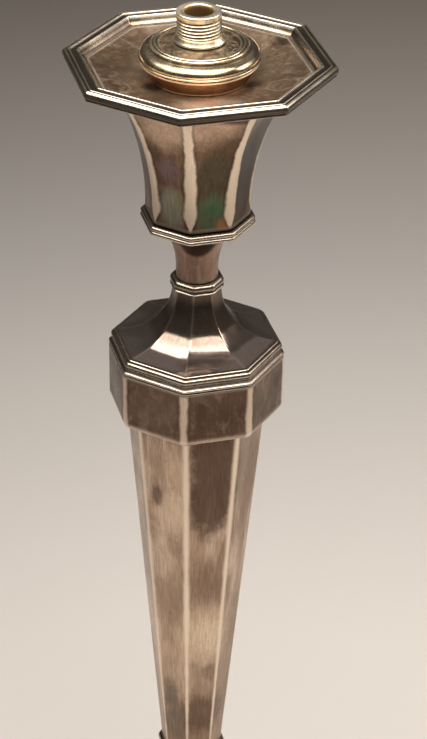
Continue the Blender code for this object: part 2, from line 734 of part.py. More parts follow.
def main():
    clear_scene()
    baize_pad()
    foot()
    cord_bush()
    base_loading()
    column_loading()
    knop_loading()
    column_and_knop()
    neck_and_capital()
    tie_tube()
    nozzle()
    adaptor()


main()
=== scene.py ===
import math
import bpy
from mathutils import Matrix, Vector


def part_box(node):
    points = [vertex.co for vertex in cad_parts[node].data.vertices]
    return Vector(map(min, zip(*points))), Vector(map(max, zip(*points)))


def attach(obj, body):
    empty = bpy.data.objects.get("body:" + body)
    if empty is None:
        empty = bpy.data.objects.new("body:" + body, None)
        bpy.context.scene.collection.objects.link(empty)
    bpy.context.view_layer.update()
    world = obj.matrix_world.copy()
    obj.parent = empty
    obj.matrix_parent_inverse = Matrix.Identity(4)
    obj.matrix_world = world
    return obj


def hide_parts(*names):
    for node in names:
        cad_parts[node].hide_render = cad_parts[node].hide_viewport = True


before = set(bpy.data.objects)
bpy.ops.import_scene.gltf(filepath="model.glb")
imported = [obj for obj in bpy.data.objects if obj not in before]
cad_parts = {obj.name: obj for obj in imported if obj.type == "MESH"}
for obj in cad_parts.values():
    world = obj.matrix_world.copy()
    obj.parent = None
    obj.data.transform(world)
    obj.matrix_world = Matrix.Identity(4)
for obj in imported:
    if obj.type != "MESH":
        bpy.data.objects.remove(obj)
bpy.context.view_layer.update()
print("frame loaded:", len(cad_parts), "nodes")

mm = 0.001
flatShare = math.cos(math.radians(22.5))    # flat's distance from the axis, as a share of the corner's
cornerSteps = 6     # facets in each rounded corner
flatSteps = 4       # facets across each flat
roundSteps = 96     # facets of a turned piece


def nodeSpan(name):
    # bottom, top and corner radius of a CAD node, in mm
    low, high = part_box(name)
    return low.z / mm, high.z / mm, high.x / flatShare / mm


ridgeZ = nodeSpan("pan_border")[1]      # heights of stains, lamps and camera start here

cameraView = {
    "azimuth": -15.04,      # degrees round the stick, from a flat
    "distance": 572.9,      # mm from the axis
    "aboveRidge": 259.7,    # mm over the pan's ridge
    "tilt": 32.29,          # degrees below level
    "turn": -0.533,
    "lean": 1.0,
    "lens": 109.7,
    "sensor": 36.0,
    "nearest": 0.01,        # metres
    "farthest": 50.0,
}


def makeCamera():
    around = math.radians(cameraView["azimuth"])
    place = Vector((math.sin(around), -math.cos(around), 0.0)) * cameraView["distance"] * mm
    place.z = (ridgeZ + cameraView["aboveRidge"]) * mm
    aim = Matrix.Rotation(around + math.radians(cameraView["turn"]), 4, "Z")
    aim = aim @ Matrix.Rotation(math.radians(90 - cameraView["tilt"]), 4, "X")
    aim = aim @ Matrix.Rotation(math.radians(cameraView["lean"]), 4, "Z")
    cam = bpy.data.cameras.new("camera")
    cam.lens = cameraView["lens"]
    cam.sensor_width = cameraView["sensor"]
    cam.clip_start = cameraView["nearest"]
    cam.clip_end = cameraView["farthest"]
    camera = bpy.data.objects.new("camera", cam)
    camera.matrix_world = Matrix.Translation(place) @ aim
    bpy.context.scene.collection.objects.link(camera)
    bpy.context.scene.camera = camera


studio = {
    # metres
    "flat": (0.02, 0.6, 1.2),
    "radius": 3.2,
    "cove": 1.0,
    "wallHeight": 3.0,
    "coveSteps": 12,
    "steps": 64,
    "paperWithPaintedShade": (      # metres out, colour: painted shade, the paper gets darker away from the stick
        (0.0, (0.78, 0.725, 0.67)), (1.0, (0.42, 0.37, 0.32)), (0.15, (0.78, 0.725, 0.67)),
        (0.45, (0.61, 0.57, 0.53)), (0.85, (0.47, 0.41, 0.35))),
    "rough": 0.9,
    "gloss": 0.1,
    "paintedLightRightward": 0.45,      # painted light: how much paler the paper gets per metre to the right
    "right": (0.966, -0.26, 0),
    "farPaintedGlow": (0.15, 0.125, 0.10),     # painted glow: what the eye sees past the lit floor
    "farStart": 0.82,
    "farFull": 1.2,
    "worldColour": (0.030, 0.028, 0.026),
}

softboxes = {
    # place and aim in mm from the pan's ridge, twist in degrees, size in metres
    "overhead": {"place": (-110, -83, 372), "aim": (-110, -82.9, 0), "twist": -27, "size": (0.78, 0.41),
                 "power": 6.0, "colour": (1.0, 0.965, 0.92)},
    "glowBack": {"place": (60, 380, 372), "aim": (60, 380.1, 0), "twist": 0, "size": (0.80, 0.50),
                 "power": 0.30, "colour": (1.0, 0.94, 0.93)},
    "rightFill": {"place": (620, -60, 300), "aim": (260, 60, -318), "twist": 0, "size": (0.35, 0.35),
                  "power": 2.1, "colour": (1.0, 0.96, 0.93)},
}


def makePaper():
    # pale paper with painted shade that makes it duller away from the stick, and painted light that makes it
    # paler to the right
    paperWithPaintedShade = bpy.data.materials.new("paperSweepWithPaintedLight")
    paperWithPaintedShade.use_nodes = True
    tree = paperWithPaintedShade.node_tree
    shader = tree.nodes["Principled BSDF"]
    spot = objectSpot(tree)
    away = vectorMath(tree, "LENGTH", spot, (0, 0, 0)).outputs["Value"]
    tone = add(tree, "ShaderNodeValToRGB", {0: away})
    for k, (radius, colour) in enumerate(studio["paperWithPaintedShade"]):
        element = tone.color_ramp.elements[k] if k < 2 else tone.color_ramp.elements.new(radius)
        element.position = radius
        element.color = (*colour, 1)
    # painted light: the paper is made paler to the right
    right = [share * studio["paintedLightRightward"] for share in studio["right"]]
    lit = maths(tree, "ADD", vectorMath(tree, "DOT_PRODUCT", spot, right).outputs["Value"], 1.0)
    shade = add(tree, "ShaderNodeVectorMath", {0: tone.outputs[0], "Scale": lit}, operation="SCALE")
    tree.links.new(shade.outputs[0], shader.inputs["Base Color"])
    # low views see past the lit floor, so the far paper has a painted glow of its own for the eye alone
    far = ramp(tree, away, studio["farStart"], studio["farFull"])
    seen = maths(tree, "MULTIPLY", far, add(tree, "ShaderNodeLightPath").outputs["Is Camera Ray"])
    glow = blendColour(tree, seen, (0.0, 0.0, 0.0), studio["farPaintedGlow"])
    tree.links.new(glow, shader.inputs["Emission Color"])
    shader.inputs["Emission Strength"].default_value = 1.0
    shader.inputs["Roughness"].default_value = studio["rough"]
    shader.inputs["Specular IOR Level"].default_value = studio["gloss"]
    return paperWithPaintedShade


def makeFloor():
    # a round seamless sweep: flat floor, quarter-round cove, straight wall
    start = studio["radius"] - studio["cove"]
    line = [(radius, 0.0) for radius in (*studio["flat"], start)]
    for k in range(1, studio["coveSteps"] + 1):
        a = math.radians(90 * k / studio["coveSteps"])
        line.append((start + studio["cove"] * math.sin(a), studio["cove"] * (1 - math.cos(a))))
    line.append((studio["radius"], studio["wallHeight"]))
    steps = studio["steps"]
    points = []
    for radius, height in line:
        for k in range(steps):
            a = 2 * math.pi * k / steps
            points.append((radius * math.cos(a), radius * math.sin(a), height))
    mesh = bpy.data.meshes.new("floor")
    mesh.from_pydata(points, [], ringFaces(len(line), steps)[:-steps] + [tuple(reversed(range(steps)))])
    mesh.shade_smooth()
    mesh.materials.append(makePaper())
    floor = bpy.data.objects.new("floor", mesh)
    bpy.context.scene.collection.objects.link(floor)


def makeLights():
    for name, box in softboxes.items():
        lamp = bpy.data.lights.new(name, "AREA")
        lamp.shape = "RECTANGLE"
        lamp.size, lamp.size_y = box["size"]
        lamp.energy = box["power"]
        lamp.color = box["colour"]
        light = bpy.data.objects.new(name, lamp)
        start, end = (Vector(box[spot]) + Vector((0, 0, ridgeZ)) for spot in ("place", "aim"))
        light.location = start * mm
        turn = (end - start).to_track_quat("-Z", "Y").to_matrix()
        turn = turn @ Matrix.Rotation(math.radians(box["twist"]), 3, "Z")
        light.rotation_euler = turn.to_euler()
        light.visible_camera = False
        bpy.context.scene.collection.objects.link(light)
    world = bpy.data.worlds.new("studio")
    world.use_nodes = True
    world.node_tree.nodes["Background"].inputs["Color"].default_value = (*studio["worldColour"], 1)
    bpy.context.scene.world = world
    bpy.context.scene.view_settings.view_transform = "Standard"


def octagonRing(corner, fillet, height):
    # a ring round the axis: octagon of this corner radius with its corners rounded, in mm
    apothem = corner * flatShare
    fillet = max(0.02, min(fillet, 0.97 * apothem))
    reach = (apothem - fillet) / flatShare
    arcs = []
    for k in range(8):
        facing = math.radians(22.5 + 45 * k)
        bend = []
        for j in range(cornerSteps + 1):
            a = facing + math.radians(45) * (j / cornerSteps - 0.5)
            bend.append((reach * math.cos(facing) + fillet * math.cos(a),
                         reach * math.sin(facing) + fillet * math.sin(a)))
        arcs.append(bend)
    ring = []
    for k, bend in enumerate(arcs):
        ring += bend
        start, end = bend[-1], arcs[(k + 1) % 8][0]
        for j in range(1, flatSteps):
            s = j / flatSteps
            ring.append((start[0] + (end[0] - start[0]) * s, start[1] + (end[1] - start[1]) * s))
    return [(x * mm, y * mm, height * mm) for x, y in ring]


def roundRing(radius, height, steps=roundSteps):
    turns = [2 * math.pi * k / steps for k in range(steps)]
    return [(radius * math.cos(a) * mm, radius * math.sin(a) * mm, height * mm) for a in turns]


def ringFaces(count, steps):
    # quads between rings of this many points, the last ring joined to the first
    faces = []
    for i in range(count):
        n = (i + 1) % count
        for k in range(steps):
            j = (k + 1) % steps
            faces.append((i * steps + k, i * steps + j, n * steps + j, n * steps + k))
    return faces


def arc(r, z, radius, start, end, steps=6, tall=None):
    # points of a bead or cove in the outline, angles in degrees from +r; tall makes it an ellipse
    turns = [math.radians(start + (end - start) * k / steps) for k in range(steps + 1)]
    return [(r + radius * math.cos(a), z + (tall or radius) * math.sin(a)) for a in turns]


def outline(parts, r=0.0, z=0.0):
    # two numbers are a point out from radius r and up from height z, more are a bead or cove there
    line = []
    for part in parts:
        line += arc(r + part[0], z + part[1], *part[2:]) if len(part) > 2 else [(r + part[0], z + part[1])]
    return line


def sweepLine(low, high, z0, z1, power, steps=24):
    # a concave run whose radius leaves its smaller end slowly
    points = []
    for k in range(steps + 1):
        t = k / steps
        grow = t ** power if high > low else 1 - (1 - t) ** power
        points.append((low + (high - low) * grow, z0 + (z1 - z0) * t))
    return points


def refine(line, near=0.7, longest=2.2):
    # extra points beside the ends of long runs, so wear stays close to its edge
    out = []
    for i, here in enumerate(line):
        after = line[(i + 1) % len(line)]
        length = math.dist(here, after)
        out.append(here)
        if length > longest:
            for s in (near / length, 1 - near / length):
                out.append((here[0] + (after[0] - here[0]) * s, here[1] + (after[1] - here[1]) * s))
    return out


def walk(line, i, step, reach):
    # the point of a closed outline this far from point i, going forward or back
    here = line[i]
    for _ in range(len(line)):
        i = (i + step) % len(line)
        gap = math.dist(here, line[i])
        if gap >= reach:
            s = reach / gap
            return here[0] + (line[i][0] - here[0]) * s, here[1] + (line[i][1] - here[1]) * s
        reach -= gap
        here = line[i]
    return here


def wear(line, reach, gain=2.6):
    # for each point of a closed outline: how proud it stands (rub) and how sunk it lies (grime, which is dirt
    # and painted shade)
    rub, grimeAndShade = [], []
    for i, here in enumerate(line):
        before, after = walk(line, i, -1, reach), walk(line, i, 1, reach)
        run = (after[0] - before[0], after[1] - before[1])
        size = math.hypot(*run) or 1.0
        rise = (run[1] * (here[0] - before[0]) - run[0] * (here[1] - before[1])) / size
        rub.append(max(0.0, min(1.0, rise / reach * gain)))
        grimeAndShade.append(max(0.0, min(1.0, -rise / reach * gain)))
    return rub, grimeAndShade


def closeSheet(outer, wall=0.9):
    # the inside of a pressed section: every second point of the same line, one wall in, back down
    inner = []
    for k, (r, z) in enumerate(outer):
        before, after = outer[max(0, k - 1)], outer[min(len(outer) - 1, k + 1)]
        run = (after[0] - before[0], after[1] - before[1])
        size = math.hypot(*run)
        inner.append((r - wall * run[1] / size, z + wall * run[0] / size))
    inner[0] = (inner[0][0], outer[0][1])
    inner[-1] = (inner[-1][0], outer[-1][1])
    return outer + inner[::-1][::2]


def wornMesh(name, points, steps, rub, grimeAndShade, material):
    mesh = bpy.data.meshes.new(name)
    mesh.from_pydata(points, [], ringFaces(len(points) // steps, steps))
    for label, values in (("rub", rub), ("grimeAndShade", grimeAndShade)):
        mesh.attributes.new(label, "FLOAT", "POINT").data.foreach_set("value", values)
    mesh.materials.append(material)
    return mesh


def place(name, mesh, body, slot, nodes, sharp=50):
    mesh.validate()
    mesh.shade_smooth()
    mesh.set_sharp_from_angle(angle=math.radians(sharp))
    piece = bpy.data.objects.new(name, mesh)
    bpy.context.scene.collection.objects.link(piece)
    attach(piece, body)
    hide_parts(*nodes)
    return piece


def skin(name, line, material, body, slot, node, fillet=None, wide=0.45, seam=(0.0, 0.0)):
    # one closed solid from a closed outline that runs up the outside and down the inside.
    # fillet None makes it round; a number or a function of the radius makes it octagonal
    line = refine(line)
    points = []
    for r, z in line:
        if fillet is None:
            points += roundRing(r, z)
        else:
            points += octagonRing(r, fillet(r) if callable(fillet) else fillet, z)
    steps = len(points) // len(line)
    rub, grimeAndShade = wear(line, wide)
    top, bottom = max(z for _, z in line), min(z for _, z in line)
    for i, (_, z) in enumerate(line):
        # painted shade where the piece meets its neighbours below and above
        for edge, depth in ((bottom, seam[0]), (top, seam[1])):
            if depth:
                grimeAndShade[i] = max(grimeAndShade[i], 1 - abs(z - edge) / depth)
    rub, grimeAndShade = ([v for v in values for _ in range(steps)] for values in (rub, grimeAndShade))
    return place(name, wornMesh(name, points, steps, rub, grimeAndShade, material), body, slot, [node])


def hubEasing(fillet, hub, share=0.9):
    # octagonal outside, nearly round where the piece closes on the tie tube
    return lambda r: fillet if r > hub else r * share


def add(tree, kind, inputs=None, **settings):
    made = tree.nodes.new(kind)
    for key, value in settings.items():
        setattr(made, key, value)
    for key, value in (inputs or {}).items():
        if isinstance(value, bpy.types.NodeSocket):
            tree.links.new(value, made.inputs[key])
        else:
            made.inputs[key].default_value = value
    return made


def maths(tree, operation, a, b=0.0, clamp=False):
    return add(tree, "ShaderNodeMath", {0: a, 1: b}, operation=operation, use_clamp=clamp).outputs[0]


def ramp(tree, factor, low, high, a=0.0, b=1.0):
    made = add(tree, "ShaderNodeMapRange", {"Value": factor, "From Min": low, "From Max": high,
                                            "To Min": a, "To Max": b}, interpolation_type="SMOOTHSTEP")
    return made.outputs["Result"]


def blendColour(tree, factor, a, b, kind="MIX"):
    made = tree.nodes.new("ShaderNodeMix")
    made.data_type = "RGBA"
    made.blend_type = kind
    for key, value in ((0, factor), (6, a), (7, b)):
        if isinstance(value, bpy.types.NodeSocket):
            tree.links.new(value, made.inputs[key])
        else:
            made.inputs[key].default_value = value if key == 0 else (*value, 1)
    return made.outputs[2]


def newGroup(name, inputs, outputs):
    group = bpy.data.node_groups.new(name, "ShaderNodeTree")
    for label, value in inputs.items():
        socket = group.interface.new_socket(label, in_out="INPUT", socket_type="NodeSocketFloat")
        socket.default_value = value
    for label in outputs:
        group.interface.new_socket(label, in_out="OUTPUT", socket_type="NodeSocketFloat")
    return group, group.nodes.new("NodeGroupInput"), group.nodes.new("NodeGroupOutput")


def objectSpot(tree):
    return add(tree, "ShaderNodeTexCoord").outputs["Object"]


def vectorMath(tree, operation, a, b):
    return add(tree, "ShaderNodeVectorMath", {0: a, 1: b}, operation=operation)


def noise(tree, spot, scale, detail, roughness, distortion=0.0):
    return add(tree, "ShaderNodeTexNoise", {"Vector": spot, "Scale": scale, "Detail": detail,
                                            "Roughness": roughness, "Distortion": distortion}).outputs[0]


def makeCornerGroup():
    # how near a point lies to one of the stick's eight corners, with a wavering edge
    group, given, out = newGroup("cornerRub", {"Width": 0.0012, "Waver": 0.001, "Scale": 120.0, "Soft": 0.6},
                                 ["Mask"])
    spot = objectSpot(group)
    axes = add(group, "ShaderNodeSeparateXYZ", {0: spot})
    turn = maths(group, "ARCTAN2", axes.outputs[1], axes.outputs[0])
    turn = maths(group, "PINGPONG", maths(group, "SUBTRACT", turn, math.radians(22.5)), math.radians(22.5))
    flat = add(group, "ShaderNodeCombineXYZ", {0: axes.outputs[0], 1: axes.outputs[1]})
    radius = vectorMath(group, "LENGTH", flat.outputs[0], (0, 0, 0)).outputs["Value"]
    away = maths(group, "MULTIPLY", radius, maths(group, "SINE", turn))
    wide = noise(group, spot, given.outputs["Scale"], 5.0, 0.6)
    away = maths(group, "ADD", away, maths(group, "MULTIPLY", maths(group, "SUBTRACT", wide, 0.5),
                                           given.outputs["Waver"]))
    inner = maths(group, "SUBTRACT", 1.0, given.outputs["Soft"])
    inner = maths(group, "MULTIPLY", given.outputs["Width"], inner)
    mask = add(group, "ShaderNodeMapRange", {"Value": away, "From Min": given.outputs["Width"],
                                             "From Max": inner}, interpolation_type="SMOOTHSTEP")
    group.links.new(mask.outputs["Result"], out.inputs["Mask"])
    return group


def makeTarnishGroup():
    # clouds, blotches, small flecks, rubbed smears and fine upright brushing
    group, given, out = newGroup("tarnish", {"Scale": 30.0, "Stretch": 1.0, "Warp": 0.6, "Seed": 0.0,
                                             "Streak": 0.22}, ["Cloud", "Blotch", "Fleck", "Smear", "Grain"])
    spot = objectSpot(group)
    shape = add(group, "ShaderNodeCombineXYZ", {0: 1.0, 1: 1.0, 2: given.outputs["Stretch"]})
    offset = add(group, "ShaderNodeCombineXYZ", {0: given.outputs["Seed"], 1: 0.0, 2: given.outputs["Seed"]})
    spot = vectorMath(group, "ADD", vectorMath(group, "MULTIPLY", spot, shape.outputs[0]).outputs[0],
                      offset.outputs[0]).outputs[0]
    scale = given.outputs["Scale"]
    cloud = noise(group, spot, scale, 6.0, 0.58, given.outputs["Warp"])
    blotch = ramp(group, noise(group, spot, maths(group, "MULTIPLY", scale, 0.55), 4.0, 0.5, 1.2), 0.46, 0.58)
    fleck = ramp(group, noise(group, spot, maths(group, "MULTIPLY", scale, 22.0), 3.0, 0.7), 0.60, 0.74)
    streak = add(group, "ShaderNodeCombineXYZ", {0: 1.0, 1: 1.0, 2: given.outputs["Streak"]}).outputs[0]
    streaks = vectorMath(group, "MULTIPLY", spot, streak).outputs[0]
    smear = noise(group, streaks, maths(group, "MULTIPLY", scale, 5.0), 6.0, 0.66, 0.5)
    lines = vectorMath(group, "MULTIPLY", spot, (1.0, 1.0, 0.05)).outputs[0]
    grain = noise(group, lines, 1900.0, 3.0, 0.7)
    for label, value in (("Cloud", cloud), ("Blotch", blotch), ("Fleck", fleck), ("Smear", smear),
                         ("Grain", grain)):
        group.links.new(value, out.inputs[label])
    return group


def makeScratchGroup():
    # hairline polishing scratches and the soft dents of old sheet, as a height
    group, given, out = newGroup("handling", {"Seed": 0.0}, ["Height", "Dull"])
    offset = add(group, "ShaderNodeCombineXYZ", {0: given.outputs["Seed"], 1: given.outputs["Seed"], 2: 0.0})
    spot = vectorMath(group, "ADD", objectSpot(group), offset.outputs[0]).outputs[0]
    along = vectorMath(group, "MULTIPLY", spot, (1.0, 1.0, 0.06)).outputs[0]
    hair = noise(group, along, 2600.0, 2.0, 0.6)
    dent = noise(group, spot, 70.0, 1.0, 0.4)
    group.links.new(maths(group, "ADD", maths(group, "MULTIPLY", hair, 0.004), dent), out.inputs["Height"])
    group.links.new(ramp(group, hair, 0.35, 0.75), out.inputs["Dull"])
    return group


def makeMarkGroup():
    # one mark round a place on the metal: a filled patch, used for stains and for painted shade, and a ring
    # of the same size, used for painted reflections
    group, given, out = newGroup("stainShadeAndReflectionMark", {"X": 0.0, "Y": 0.0, "Z": 0.0, "Radius": 0.005, "Squash": 1.0,
                                               "Waver": 0.002, "Scale": 200.0, "Soft": 0.3, "Line": 0.0004},
                                 ["Patch", "PaintedReflectionRing"])
    spot = objectSpot(group)
    centre = add(group, "ShaderNodeCombineXYZ", {k: given.outputs[k] for k in "XYZ"}).outputs[0]
    shape = add(group, "ShaderNodeCombineXYZ", {0: 1.0, 1: 1.0, 2: given.outputs["Squash"]}).outputs[0]
    away = vectorMath(group, "SUBTRACT", spot, centre).outputs[0]
    away = vectorMath(group, "MULTIPLY", away, shape).outputs[0]
    away = vectorMath(group, "LENGTH", away, (0, 0, 0)).outputs["Value"]
    waver = maths(group, "SUBTRACT", noise(group, spot, given.outputs["Scale"], 5.0, 0.65), 0.5)
    away = maths(group, "ADD", away, maths(group, "MULTIPLY", waver, given.outputs["Waver"]))
    low = maths(group, "SUBTRACT", 1.0, given.outputs["Soft"])
    low = maths(group, "MULTIPLY", given.outputs["Radius"], low)
    patch = add(group, "ShaderNodeMapRange", {"Value": away, "From Min": given.outputs["Radius"],
                                              "From Max": low}, interpolation_type="SMOOTHSTEP")
    edge = maths(group, "ABSOLUTE", maths(group, "SUBTRACT", away, given.outputs["Radius"]))
    ring = add(group, "ShaderNodeMapRange", {"Value": edge, "From Min": given.outputs["Line"],
                                             "From Max": 0.0}, interpolation_type="SMOOTHSTEP")
    group.links.new(patch.outputs["Result"], out.inputs["Patch"])
    group.links.new(ring.outputs["Result"], out.inputs["PaintedReflectionRing"])
    return group


cornerGroup = makeCornerGroup()
tarnishGroup = makeTarnishGroup()
scratchGroup = makeScratchGroup()
markGroup = makeMarkGroup()
print("shader groups made")


def useGroup(tree, group, inputs):
    made = tree.nodes.new("ShaderNodeGroup")
    made.node_tree = group
    for key, value in inputs.items():
        made.inputs[key].default_value = value
    return made


def attribute(tree, name):
    return add(tree, "ShaderNodeAttribute", attribute_name=name).outputs["Fac"]


def heightShare(tree, z0, z1, waver=0.0, scale=90.0):
    # 0 at height z0 and 1 at z1, both in mm from the pan's ridge, with a ragged front
    spot = objectSpot(tree)
    z = add(tree, "ShaderNodeSeparateXYZ", {0: spot}).outputs[2]
    if waver:
        drift = maths(tree, "SUBTRACT", noise(tree, spot, scale, 5.0, 0.6), 0.5)
        z = maths(tree, "ADD", z, maths(tree, "MULTIPLY", drift, waver * mm))
    return ramp(tree, z, (ridgeZ + z0) * mm, (ridgeZ + z1) * mm)


# used for stains, for patches of painted shade and for painted reflection rings
def stainShadeAndReflectionSpot(tree, at, radius, squash=1.0, waver=0.0, soft=0.3, scale=220.0, line=0.5):
    # lengths in mm, the place measured from the pan's ridge
    x, y, z = at
    return useGroup(tree, markGroup, {
        "X": x * mm, "Y": y * mm, "Z": (ridgeZ + z) * mm, "Radius": radius * mm, "Squash": squash,
        "Waver": waver * mm, "Scale": scale, "Soft": soft, "Line": line * mm}).outputs


def cornerMask(tree, look, extra=0.0):
    # rubbed strips along the corners; their width may change up the piece
    rub = useGroup(tree, cornerGroup, {
        "Waver": look.get("waver", 0.8) * mm, "Soft": look.get("cornerSoft", 0.6),
        "Scale": look.get("waverScale", 160.0)})
    width = look["corner"]
    if isinstance(width, tuple):
        # heights and widths at the foot, the widest place and the top
        (z0, w0), (z1, w1), (z2, w2) = width
        foot = maths(tree, "MULTIPLY", heightShare(tree, z0, z1), (w1 - w0) * mm)
        head = maths(tree, "MULTIPLY", heightShare(tree, z1, z2), (w2 - w1) * mm)
        value = maths(tree, "ADD", maths(tree, "ADD", foot, (w0 + extra) * mm), head)
        tree.links.new(value, rub.inputs["Width"])
    else:
        rub.inputs["Width"].default_value = (width + extra) * mm
    return maths(tree, "MULTIPLY", rub.outputs["Mask"], look.get("cornerShare", 0.92))


def stainedShadedAndReflectedColour(tree, look, tarnish):
    # tarnish clouds, rising tones, haze, blotches, the stains of this piece, and its painted shade,
    # highlights and reflections
    ragged = look.get("ragged", 14.0)
    colour = blendColour(tree, ramp(tree, tarnish["Cloud"], 0.36, 0.64), look["deep"], look["brown"])
    # rising tones, some of them painted shadow, painted highlight and painted reflection
    for z0, z1, tone, share in look.get("rises", ()):
        rise = maths(tree, "MULTIPLY", heightShare(tree, z0, z1, ragged), share)
        colour = blendColour(tree, rise, colour, tone)
    haze = ramp(tree, tarnish["Smear"], 0.44, 0.70, 0.0, look.get("haze", 0.5))
    colour = blendColour(tree, haze, colour, look["pale"])
    blotch = maths(tree, "MULTIPLY", tarnish["Blotch"], look.get("blotch", 0.35))
    colour = blendColour(tree, blotch, colour, look["deep"])
    # marks: stains, and some patches of painted shade and painted reflection
    for at, radius, squash, tone, share, waver, soft, *scale in look.get("marks", ()):
        patch = stainShadeAndReflectionSpot(tree, at, radius, squash, waver, soft, *scale)["Patch"]
        colour = blendColour(tree, maths(tree, "MULTIPLY", patch, share), colour, tone)
    # the rings are painted reflections
    for at, radius, squash, tone, share, waver, line in look.get("rings", ()):
        ring = stainShadeAndReflectionSpot(tree, at, radius, squash, waver, line=line)["PaintedReflectionRing"]
        colour = blendColour(tree, maths(tree, "MULTIPLY", ring, share), colour, tone)
    grain = ramp(tree, tarnish["Grain"], 0.3, 0.7, 1 - look.get("grain", 0.16), 1 + look.get("grain", 0.16))
    colour = add(tree, "ShaderNodeVectorMath", {0: colour, "Scale": grain}, operation="SCALE").outputs[0]
    fleck = maths(tree, "MULTIPLY", tarnish["Fleck"], look.get("fleck", 0.4))
    return blendColour(tree, fleck, colour, look["dirtAndShade"])


def wornColour(tree, look, colour, sunk):
    # bright rubbed corners and crests, painted shade on the roll's underside with a painted highlight line,
    # and dirt with painted shade in the hollows and at the joints
    if "edge" in look:
        edge = maths(tree, "MULTIPLY", cornerMask(tree, look, look["edge"]), look.get("edgeShare", 0.5))
        colour = blendColour(tree, edge, colour, look["dirtAndShade"])
    if "corner" in look:
        colour = blendColour(tree, cornerMask(tree, look), colour, look["worn"])
    proud = maths(tree, "MULTIPLY", attribute(tree, "rub"), look.get("crest", 0.9))
    colour = blendColour(tree, proud, colour, look["worn"])
    # painted shade on the roll's underside and a painted highlight line at its foot, kept off the dish
    for z0, z1, tone, share in look.get("under", ()):
        low = maths(tree, "MULTIPLY", heightShare(tree, z0, z1, look["ragged"]), share)
        inside = stainShadeAndReflectionSpot(tree, (0, 0, 0), look["inside"], squash=0.0, soft=0.01)["Patch"]
        low = maths(tree, "MULTIPLY", low, maths(tree, "SUBTRACT", 1.0, inside))
        colour = blendColour(tree, low, colour, tone)
    return blendColour(tree, sunk, colour, look["dirtAndShade"])


def silverMaterial(name, look):
    material = bpy.data.materials.new(name)
    material.use_nodes = True
    tree = material.node_tree
    shader = tree.nodes["Principled BSDF"]
    seed = look.get("seed", 0.0)
    tarnish = useGroup(tree, tarnishGroup, {
        "Scale": look.get("scale", 30.0), "Stretch": look.get("stretch", 0.5), "Warp": look.get("warp", 0.6),
        "Seed": seed, "Streak": look.get("streak", 0.22)}).outputs
    touch = useGroup(tree, scratchGroup, {"Seed": seed}).outputs
    # sunk: dirt and painted shade in the hollows and at the joints
    sunk = maths(tree, "MULTIPLY", attribute(tree, "grimeAndShade"), look.get("grimeAndShadeShare", 0.9))
    if "clean" in look:
        sunk = maths(tree, "MULTIPLY", sunk, maths(tree, "SUBTRACT", 1.0, heightShare(tree, *look["clean"])))
    colour = wornColour(tree, look, stainedShadedAndReflectedColour(tree, look, tarnish), sunk)
    tree.links.new(colour, shader.inputs["Base Color"])
    rough = ramp(tree, tarnish["Cloud"], 0.3, 0.7, *look.get("rough", (0.36, 0.24)))
    rough = maths(tree, "ADD", rough, maths(tree, "MULTIPLY", touch["Dull"], look.get("hair", 0.06)))
    rough = maths(tree, "ADD", rough, maths(tree, "MULTIPLY", sunk, 0.35), clamp=True)
    tree.links.new(rough, shader.inputs["Roughness"])
    shader.inputs["Metallic"].default_value = look.get("metal", 0.95)
    bump = add(tree, "ShaderNodeBump", {"Height": touch["Height"], "Distance": look.get("bump", 0.12) * mm,
                                        "Strength": 1.0})
    tree.links.new(bump.outputs[0], shader.inputs["Normal"])
    return material


def plainMaterial(name, look):
    # cork, pitch, steel and brass fittings: two-tone grain with a matching bump
    material = bpy.data.materials.new(name)
    material.use_nodes = True
    tree = material.node_tree
    shader = tree.nodes["Principled BSDF"]
    spot = objectSpot(tree)
    grain = noise(tree, spot, look["scale"], 6.0, 0.65)
    cells = add(tree, "ShaderNodeTexVoronoi", {"Vector": spot, "Scale": look["scale"] * 0.7})
    cells = maths(tree, "MULTIPLY", cells.outputs["Distance"], look.get("cell", 0.0))
    tone = maths(tree, "ADD", grain, cells)
    tone = ramp(tree, tone, 0.35, 0.75)
    colour = blendColour(tree, tone, look["dark"], look["light"])
    if look.get("metal"):
        tarnish = useGroup(tree, tarnishGroup, {"Scale": 60.0, "Warp": 0.8, "Seed": 0.3}).outputs
        colour = blendColour(tree, maths(tree, "MULTIPLY", tarnish["Blotch"], 0.4), colour, look["dark"])
    tree.links.new(colour, shader.inputs["Base Color"])
    tree.links.new(ramp(tree, grain, 0.3, 0.7, *look["rough"]), shader.inputs["Roughness"])
    shader.inputs["Metallic"].default_value = look.get("metal", 0.0)
    bump = add(tree, "ShaderNodeBump", {"Height": tone, "Distance": look["bump"] * mm, "Strength": 0.8})
    tree.links.new(bump.outputs[0], shader.inputs["Normal"])
    return material


cream = (0.86, 0.72, 0.58)
blush = (0.78, 0.62, 0.50)
# dark tone for dirt, also used for painted shade in the hollows and at the joints
sootAndShade = (0.030, 0.024, 0.019)
